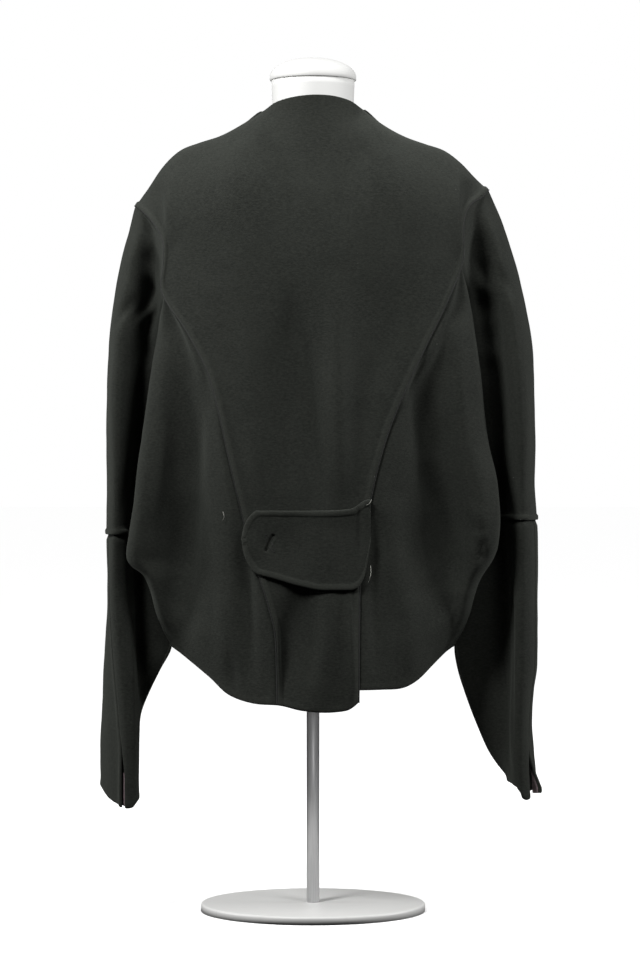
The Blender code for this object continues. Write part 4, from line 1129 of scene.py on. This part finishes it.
def lint_specks(tree, place):
    """Rare round specks of lint, half a millimetre wide, in a few of the cells of 8 mm."""
    cells = add_node(tree, "TexVoronoi", {"Vector": place, "Scale": 1.0 / (8 * MM), "Randomness": 1.0})
    near = add_node(tree, "MapRange", {"Value": cells.outputs["Distance"], "From Min": 0.035,
                                       "From Max": 0.075, "To Min": 1.0, "To Max": 0.0})
    rare = add_node(tree, "MapRange", {"Value": cells.outputs["Color"], "From Min": 0.90,
                                       "From Max": 0.93, "To Min": 0.0, "To Max": 0.55})
    both = add_node(tree, "Math", {0: near.outputs[0], 1: rare.outputs[0]}, operation="MULTIPLY")
    return both.outputs[0]


def mauve_facing():
    """Plain-woven mauve cotton facing: a soft flat cloth with faint slubs along the thread.

    The real threads are 0.4 mm apart, too fine to show, and are drawn 0.8 mm apart.
    """
    base = settings("jacket_cloth").facing[:]
    material, tree, place = new_material("mauve_woven_facing")
    weave = pattern(tree, place, 0.8 * MM, (1.0, 1.0, 3.0), detail=2.0)
    slubs = pattern(tree, place, 9 * MM, (1.0, 1.0, 6.0), detail=3.0)
    tone = layered(
        tree, base,
        (slubs, (0.35, 0.65), (0.0, 0.35), toned(base, 0.62)),
        (weave, (0.4, 0.6), (0.0, 0.25), toned(base, 1.35)))
    surface(tree, {"Base Color": tone, "Roughness": 0.85, "Sheen Weight": 0.3,
                   "Normal": raised(tree, (weave, 0.2 * MM, 0.5))})
    return material


def stretch_cover():
    """White knitted stretch cover, pulled smooth over the form: even and soft, with faint wide shades.

    The real loops are 0.5 mm wide, too fine to show, and are drawn 1.1 mm wide.
    """
    base = settings("jacket_form").cover[:]
    material, tree, place = new_material("white_stretch_cover")
    knit = pattern(tree, place, 1.1 * MM, (1.0, 1.0, 2.5), detail=2.0)
    shade = pattern(tree, place, 45 * MM, detail=3.0)
    tone = layered(tree, base, (shade, (0.3, 0.7), (0.0, 0.12), toned(base, 0.86)))
    surface(tree, {"Base Color": tone, "Roughness": 0.6, "Sheen Weight": 0.15,
                   "Normal": raised(tree, (knit, 0.12 * MM, 0.35))})
    return material


def satin_pole():
    """Drawn steel tube with a satin lacquer: pale grey with fine lines along its length, a few dull patches.

    The lacquer takes most of the metal's shine. The drawn lines are 0.1 mm apart, too fine to show, and
    are drawn 0.7 mm apart.
    """
    base = settings("jacket_form").pole[:]
    material, tree, place = new_material("satin_drawn_steel")
    lines = pattern(tree, place, 0.7 * MM, (1.0, 1.0, 0.02), detail=3.0)
    dull = pattern(tree, place, 28 * MM, (1.0, 1.0, 0.5), detail=4.0)
    tone = layered(tree, base, (lines, (0.35, 0.65), (0.0, 0.5), toned(base, 0.72)))
    rough = add_node(tree, "MapRange", {"Value": dull, "From Min": 0.3, "From Max": 0.7,
                                        "To Min": 0.34, "To Max": 0.5})
    surface(tree, {"Base Color": tone, "Metallic": 0.2, "Roughness": rough.outputs[0],
                   "Normal": raised(tree, (lines, 0.05 * MM, 0.3))})
    return material


def base_paint():
    """White powder paint baked on steel: half matt, with an orange-peel grain of 1.6 mm and faint scuffs."""
    base = settings("jacket_form").paint[:]
    material, tree, place = new_material("white_powder_paint")
    grain = pattern(tree, place, 1.6 * MM, detail=2.0)
    scuffs = pattern(tree, place, 24 * MM, (1.0, 4.0, 1.0), detail=5.0)
    tone = layered(tree, base, (scuffs, (0.6, 0.75), (0.0, 0.3), toned(base, 0.8)))
    surface(tree, {"Base Color": tone, "Roughness": 0.42, "Normal": raised(tree, (grain, 0.12 * MM, 0.3))})
    return material


def seam_shadow_thread():
    """Twisted sewing thread, darker than the wool as a painted shadow line, a little smoother, with a ply of
    0.5 mm.
    """
    cloth = settings("jacket_cloth")
    material, tree, place = new_material("twisted_thread_painted_seam_shadow")
    twist = pattern(tree, place, 0.5 * MM, (1.0, 1.0, 1.0), (0.0, 0.7, 0.0), detail=1.0)
    tone = layered(tree, cloth.thread[:], (twist, (0.0, 1.0), (0.0, 1.0), cloth.wool_dark[:]))
    surface(tree, {"Base Color": tone, "Roughness": 0.7, "Normal": raised(tree, (twist, 0.1 * MM, 0.5))})
    return material


def loose_thread():
    """Pale spun cotton thread, loose and soft, uneven over 0.6 mm."""
    material, tree, place = new_material("pale_loose_thread")
    twist = pattern(tree, place, 0.6 * MM, detail=1.0)
    tone = layered(tree, hex_colour("#8c8c84"), (twist, (0.0, 1.0), (0.0, 1.0), hex_colour("#c4c4bc")))
    surface(tree, {"Base Color": tone, "Roughness": 0.8})
    return material


MAKERS = {
    "wool": felted_wool, "facing": mauve_facing, "form_cover": stretch_cover, "pole": satin_pole,
    "stand_base": base_paint, "thread": seam_shadow_thread, "loose": loose_thread}
MATERIALS = {}


def material_of(finish):
    """Material of one finish, made once."""
    if finish not in MATERIALS:
        MATERIALS[finish] = MAKERS[finish]()
    return MATERIALS[finish]


def turned(name, profile, steps):
    """Solid of revolution about the pole's axis, spun from its outline with rounded corners."""
    shape = bmesh.new()
    corners = [shape.verts.new((radius, 0.0, height)) for radius, height in profile]
    for a, b in zip(corners, corners[1:]):
        shape.edges.new((a, b))
    bmesh.ops.spin(shape, geom=shape.verts[:] + shape.edges[:], axis=(0, 0, 1), cent=(0, 0, 0),
                   angle=math.tau, steps=steps, use_merge=True)
    bmesh.ops.remove_doubles(shape, verts=shape.verts[:], dist=WELD)
    bmesh.ops.recalc_face_normals(shape, faces=shape.faces[:])
    return finished(name, shape)


def arc(middle, radius, start, end, steps):
    """Points of an arc in the plane of radius and height, angles in degrees."""
    points = []
    for step in range(steps + 1):
        angle = math.radians(blend(start, end, step / steps))
        points.append((middle[0] + radius * math.cos(angle), middle[1] + radius * math.sin(angle)))
    return points


def tube(name, points, radius, closed=False):
    """Round thread along a path, capped at both ends or closed on itself."""
    line = bpy.data.curves.new(name, "CURVE")
    line.dimensions = "3D"
    line.bevel_depth = radius
    line.bevel_resolution = 1
    line.use_fill_caps = True
    path = line.splines.new("POLY")
    path.points.add(len(points) - 1)
    for knot, point in zip(path.points, points):
        knot.co = (*point, 1.0)
    path.use_cyclic_u = closed
    rod = bpy.data.objects.new(name, line)
    mesh = bpy.data.meshes.new_from_object(rod)
    mesh.shade_smooth()
    bpy.data.objects.remove(rod)
    bpy.data.curves.remove(line)
    piece = bpy.data.objects.new(name, mesh)
    bpy.context.scene.collection.objects.link(piece)
    return piece


def colour(text, name, description):
    """Colour property with a linear default."""
    return FloatVectorProperty(name=name, description=description, subtype="COLOR", size=3,
                               min=0.0, max=1.0, default=hex_colour(text))


class JacketCloth(bpy.types.PropertyGroup):
    """Sizes and colours of the cloth."""
    wall: FloatProperty(name="Wall", description="Thickness of the felted cloth", default=CLOTH_WALL,
                        min=1.0 * MM, max=5.0 * MM, unit="LENGTH", precision=4)
    spacing: FloatProperty(name="Spacing", description="Distance between the points of a cloth piece",
                           default=5.0 * MM, min=3.0 * MM, max=20.0 * MM, unit="LENGTH", precision=4)
    creases: FloatProperty(name="Creases", description="Strength of the soft creases", default=1.35,
                           min=0.0, max=2.0)
    # Share by which edges are painted paler, for wear and as a painted highlight on the raised rims
    edge_wear_and_highlight: FloatProperty(name="Edge wear", description="How much paler worn edges are", default=0.2,
                             min=0.0, max=1.0, subtype="FACTOR")
    sheen: FloatProperty(name="Sheen", description="Strength of the nap's sheen", default=0.1,
                         min=0.0, max=1.0, subtype="FACTOR")
    wool_dark: colour("#1a1c19", "Wool, dark", "Darkest tone of the wool")
    wool_light: colour("#2d2f2b", "Wool, light", "Lightest tone of the wool")
    # Paler edge tone: partly wear, partly a painted highlight on the raised rims
    wool_worn_and_lit: colour("#41433e", "Wool, worn", "Tone of worn edges")
    sheen_tint: colour("#c8d0c4", "Sheen tint", "Tint of the nap's sheen")
    lint: colour("#a8aba2", "Lint", "Colour of small specks of lint")
    # Near-black thread colour: a painted shadow line in the lapped seams; the buttonhole's edge takes it too
    thread: colour("#0b0c0a", "Thread", "Colour of the felling thread")
    facing: colour("#8d777c", "Facing", "Colour of the vents' facing")


class JacketForm(bpy.types.PropertyGroup):
    """Sizes and colours of the dress form."""
    steps: IntProperty(name="Roundness", description="Number of faces round the form", default=96,
                       min=24, max=160)
    cover: colour("#e4e4e2", "Cover", "Colour of the form's cover")
    pole: colour("#d4d4d5", "Pole", "Colour of the pole")
    paint: colour("#f0f0ee", "Base", "Colour of the base's paint")


class JacketStage(bpy.types.PropertyGroup):
    """Camera and lights."""
    distance: FloatProperty(name="Camera distance", description="Camera to pole", default=4.0, min=1.0,
                            max=10.0, unit="LENGTH")
    lens: FloatProperty(name="Lens", description="Focal length in millimetres", default=120.0, min=20.0,
                        max=300.0)
    light: FloatProperty(name="Light", description="Strength of all lights", default=1.0, min=0.0, max=4.0)
    floor: colour("#fafafa", "Floor", "Colour of the floor")


class JACKET_OT_body(bpy.types.Operator):
    """Back centre, side-back panels and fronts"""
    bl_idname = "jacket.body"
    bl_label = "Body of the jacket"

    def execute(self, context):
        cloth_piece("back_centre", back_centre(), 1, ("over", "over", "hem", "plain"))
        for label, side in SIDES.items():
            cloth_piece("side_back_" + label, side_back(side), side, ("under", "under", "hem", "plain"))
            cloth_piece("front_" + label, front(side), -side, ("hem", "under", "hem", "plain"))
        return {"FINISHED"}


class JACKET_OT_sleeves(bpy.types.Operator):
    """Upper sleeves, lower sleeves and the vents' facings"""
    bl_idname = "jacket.sleeves"
    bl_label = "Sleeves"

    def execute(self, context):
        for label, side in SIDES.items():
            cloth_piece("sleeve_upper_" + label, sleeve_upper(side), side,
                        ("under", "under", "over", "plain"))
            cloth_piece("sleeve_lower_back_" + label, lower_sleeve(side, "back"), side,
                        ("plain", "plain", "hem", "under"))
            flap = lower_sleeve(side, "front")
            cloth_piece("sleeve_lower_front_" + label, flap, side, ("flap", "plain", "hem", "under"))
            cloth_piece("vent_facing_" + label, vent_facing(side, flap), side,
                        ("plain", "plain", "plain", "plain"), slot="facing", wall=FACING_WALL)
        return {"FINISHED"}


class JACKET_OT_tab(bpy.types.Operator):
    """Half-belt tab with its turned edge and buttonhole"""
    bl_idname = "jacket.tab"
    bl_label = "Back tab"

    def execute(self, context):
        cloth_piece("back_tab", tab(), 1, ("turned", "plain", "turned", "turned"), extra=tab_pull,
                    closer=TAB_FINENESS)
        buttonhole()
        return {"FINISHED"}


def tab_pull(point):
    """Depth of the tab's buttonhole and of the soft fold at its sewn end."""
    fold = math.exp(-((point.x - TAB_FOLD["x"]) / TAB_FOLD["width"]) ** 2)
    fold *= smooth_step((point.z - TAB_FOLD["foot"]) / TAB_FOLD["ease"])
    across, along = slit_place(point)
    groove = math.exp(-(across / SLIT["width"]) ** 2)
    groove *= smooth_step((SLIT["half_length"] - abs(along)) / SLIT["width"])
    return TAB_FOLD["depth"] * fold + SLIT["depth"] * groove


def slit_place(point):
    """Distances of a point across and along the buttonhole."""
    x, z = point.x - SLIT["x"], point.z - SLIT["z"]
    return (x * math.cos(SLIT["lean"]) + z * math.sin(SLIT["lean"]),
            z * math.cos(SLIT["lean"]) - x * math.sin(SLIT["lean"]))


def buttonhole():
    """Worked edge of the buttonhole: a thread laid round the slit."""
    lean = Matrix.Rotation(SLIT["lean"], 3, "Y")
    rim = []
    for step in range(SLIT["edge_steps"]):
        angle = math.tau * step / SLIT["edge_steps"]
        across, along = math.sin(angle) * SLIT["edge_half_width"], math.cos(angle) * SLIT["half_length"]
        flat = lean @ Vector((across, 0.0, along))
        point = tab_point(SLIT["x"] + flat.x, SLIT["z"] + flat.z)
        point.y += tab_pull(point) + pulled("back_tab", point) - SLIT["edge_lift"]
        rim.append(point)
    dress(tube("buttonhole_edge", rim, SLIT["edge_radius"], closed=True), "thread", "wool")


class JACKET_OT_sewing(bpy.types.Operator):
    """Felling thread down in the lapped seams, near-black as a painted shadow line, and its loose ends"""
    bl_idname = "jacket.sewing"
    bl_label = "Sewing threads"

    def execute(self, context):
        for label, side in SIDES.items():
            inset = Vector((side * THREAD_INSET, 0.0, 0.0))
            knots = [seam_point(side, height) + inset for height in seam_heights(side)]
            path = through(knots, [THREAD_STEPS] * (len(knots) - 1))
            # The near-black felling thread paints the shadow line beside each lap
            dress(tube("felling_thread_painted_shadow_" + label, path, FELLING_RADIUS), "thread", "wool")
        loose_threads()
        return {"FINISHED"}


def loose_threads():
    """Pale thread ends that stand off the cloth."""
    columns = [THREADS[name] for name in ("x0", "z0", "x1", "z1", "lift")]
    for number, (x0, z0, x1, z1, lift) in enumerate(zip(*columns), 1):
        points = []
        for step in range(LOOSE_STEPS + 1):
            t = step / LOOSE_STEPS
            x, z = blend(x0, x1, t), blend(z0, z1, t)
            bow = math.sin(math.pi * t)
            point = back_point(x + bow * LOOSE_BOW, z)
            point.y -= lift * (0.5 + bow) + LOOSE_LIFT
            points.append(point)
        dress(tube(f"loose_thread_{number}", points, LOOSE_RADIUS), "loose", "wool")


class JACKET_OT_form(bpy.types.Operator):
    """Torso, neck cap, pole and base of the dress form"""
    bl_idname = "jacket.form"
    bl_label = "Dress form"

    def execute(self, context):
        steps = settings("jacket_form").steps
        dress(torso(steps), "form_cover", "form_cover", "form_torso")
        turns = [math.radians(angle) for angle in range(0, 91, CAP_ARC_STEP)]
        cap = [(CAP_RADIUS * math.sin(turn), CAP_EDGE + CAP_RISE * math.cos(turn)) for turn in turns]
        foot = NECK_TOP + SEAM_GAP
        cap += [(CAP_RADIUS, NECK_TOP + CAP_LIP), (CAP_RADIUS - CAP_LIP_ROUND, foot), (0.0, foot)]
        dress(turned("neck_cap", cap, steps), "form_cover", "form_cover", "form_neck_cap")
        top, foot = TORSO_FOOT - SEAM_GAP, BASE_HEIGHT + SEAM_GAP
        pole = [(0.0, top), (POLE_RADIUS, top), (POLE_RADIUS, foot), (0.0, foot)]
        dress(turned("pole_tube", pole, POLE_STEPS), "pole", "pole", "form_pole")
        middle = (BASE_RADIUS - BASE_ROUND, BASE_HEIGHT - BASE_ROUND)
        plate = [(0.0, BASE_HEIGHT)] + arc(middle, BASE_ROUND, 90, 0, BASE_ROUND_STEPS)
        plate += [(BASE_RADIUS, 0.0), (0.0, 0.0)]
        dress(turned("base_plate", plate, steps), "stand_base", "stand_base", "form_base")
        return {"FINISHED"}


def torso(steps):
    """Torso and neck of the form, of rounded sections at close levels."""
    between = [blend(a, b, t) for a, b in zip(TORSO["z"], TORSO["z"][1:]) for t in TORSO_SHARES]
    heights = sorted(TORSO["z"] + between, reverse=True)
    shape = bmesh.new()
    bmesh.ops.create_cone(shape, cap_ends=True, segments=steps, radius1=1.0, radius2=1.0, depth=2.0)
    upright = [edge for edge in shape.edges if abs(edge.verts[0].co.z - edge.verts[1].co.z) > 1.0]
    bmesh.ops.subdivide_edges(shape, edges=upright, cuts=len(heights) - 2, use_grid_fill=True)
    for corner in shape.verts:
        z = heights[round((1.0 - corner.co.z) / 2.0 * (len(heights) - 1))]
        corner.co = Vector((corner.co.x * reading(TORSO, "half_width", z),
                            corner.co.y * reading(TORSO, "half_depth", z), z))
    bmesh.ops.recalc_face_normals(shape, faces=shape.faces[:])
    return finished("torso_cover", shape)


# Studio: the camera's place and film, the floor and its own light, the backdrop as the camera and as the
# pieces see it, and the lamps with their places, widths and powers in watts
CAMERA_X = 8.75 * MM
CAMERA_Z = 537.5 * MM
FILM_WIDTH = 36.0
FLOOR_SIZE = 60.0
FLOOR_LIGHT = 3.4
FLOOR_LIGHT_ANGLE = math.radians(60)
AMBIENT = 0.02
BACKDROP = 1.0
LIGHT_AIM = (0.0, 0.0, 0.7)
LIGHTS = (
    ("soft_left", (-0.85, -1.2, 1.8), 0.5, 30.0),
    ("soft_right", (0.95, -1.3, 1.8), 0.8, 14.0),
    ("edge_left", (-3.2, 0.1, 1.5), 1.2, 52.0),
    ("edge_right", (3.2, 0.1, 1.5), 1.2, 60.0),
    ("soft_top", (0.0, 0.4, 3.0), 1.0, 8.0),
    ("pole_front", (0.4, -3.0, 0.3), 0.8, 26.0))
POLE_LIGHTS = ("pole_front",)


class JACKET_OT_stage(bpy.types.Operator):
    """Pale floor, soft lights and the camera"""
    bl_idname = "jacket.stage"
    bl_label = "Studio"

    def execute(self, context):
        stage = settings("jacket_stage")
        context.scene.view_settings.view_transform = "Standard"
        lit_floor, lit_stand = (bpy.data.collections.new(name) for name in ("lit_floor", "lit_stand"))
        lit_floor.objects.link(studio_floor(stage))
        lit_stand.objects.link(bpy.data.objects["pole_tube"])
        backdrop(context.scene, stage)
        for name, place, size, power in LIGHTS:
            lamp = studio_lamp(name, "AREA", power * stage.light, lit_stand if name in POLE_LIGHTS else None)
            lamp.data.shape, lamp.data.size = "DISK", size
            lamp.location = place
            lamp.rotation_euler = (Vector(LIGHT_AIM) - Vector(place)).to_track_quat("-Z", "Y").to_euler()
        studio_lamp("floor_light", "SUN", FLOOR_LIGHT, lit_floor).data.angle = FLOOR_LIGHT_ANGLE
        lens = bpy.data.cameras.new("photo_camera")
        lens.lens, lens.sensor_width = stage.lens, FILM_WIDTH
        camera = bpy.data.objects.new("photo_camera", lens)
        camera.location = (CAMERA_X, -stage.distance, CAMERA_Z)
        camera.rotation_euler = (math.radians(90), 0.0, 0.0)
        context.scene.collection.objects.link(camera)
        context.scene.camera = camera
        return {"FINISHED"}


def studio_floor(stage):
    """Wide pale paper floor."""
    shape = bmesh.new()
    bmesh.ops.create_grid(shape, x_segments=1, y_segments=1, size=FLOOR_SIZE)
    floor = finished("studio_floor", shape)
    floor.visible_diffuse = floor.visible_glossy = False
    paper, tree, _ = new_material("pale_studio_floor")
    surface(tree, {"Base Color": (*stage.floor, 1.0), "Roughness": 0.9})
    floor.data.materials.append(paper)
    return floor


def backdrop(scene, stage):
    """White world that the camera sees bright and the pieces see dim."""
    world = bpy.data.worlds.new("pale_studio")
    world.use_nodes = True
    air = world.node_tree
    seen = add_node(air, "LightPath").outputs["Is Camera Ray"]
    limits = {"To Min": AMBIENT * stage.light, "To Max": BACKDROP}
    strength = add_node(air, "MapRange", {"Value": seen, **limits})
    air.nodes["Background"].inputs["Color"].default_value = (1.0, 1.0, 1.0, 1.0)
    air.links.new(strength.outputs[0], air.nodes["Background"].inputs["Strength"])
    scene.world = world


def studio_lamp(name, kind, power, lit):
    """Lamp of one kind and power, which lights everything or one collection alone."""
    data = bpy.data.lights.new(name, kind)
    data.energy = power
    lamp = bpy.data.objects.new(name, data)
    bpy.context.scene.collection.objects.link(lamp)
    if lit:
        lamp.light_linking.receiver_collection = lit
    return lamp


class JACKET_PT_panel(bpy.types.Panel):
    """Sizes, colours and operators of the jacket"""
    bl_idname = "JACKET_PT_panel"
    bl_label = "Wool jacket"
    bl_space_type = "VIEW_3D"
    bl_region_type = "UI"
    bl_category = "Jacket"

    def draw(self, context):
        for name in GROUPS:
            box = self.layout.box()
            for prop in GROUPS[name].__annotations__:
                box.prop(getattr(context.scene, name), prop)
        for operator in OPERATORS:
            self.layout.operator(operator.bl_idname)


GROUPS = {"jacket_cloth": JacketCloth, "jacket_form": JacketForm, "jacket_stage": JacketStage}
OPERATORS = (
    JACKET_OT_body, JACKET_OT_sleeves, JACKET_OT_tab, JACKET_OT_sewing, JACKET_OT_form, JACKET_OT_stage)


def register():
    """Register the add-on's classes and hang its properties on the scene."""
    for name, group in GROUPS.items():
        bpy.utils.register_class(group)
        setattr(bpy.types.Scene, name, PointerProperty(type=group))
    for operator in OPERATORS + (JACKET_PT_panel,):
        bpy.utils.register_class(operator)


def unregister():
    """Take the add-on's classes and properties away again."""
    for operator in reversed(OPERATORS + (JACKET_PT_panel,)):
        bpy.utils.unregister_class(operator)
    for name, group in reversed(GROUPS.items()):
        delattr(bpy.types.Scene, name)
        bpy.utils.unregister_class(group)


def main():
    """Build every piece and the studio."""
    register()
    bpy.ops.jacket.body()
    bpy.ops.jacket.sleeves()
    bpy.ops.jacket.tab()
    bpy.ops.jacket.sewing()
    bpy.ops.jacket.form()
    bpy.ops.jacket.stage()


if __name__ == "__main__":
    main()
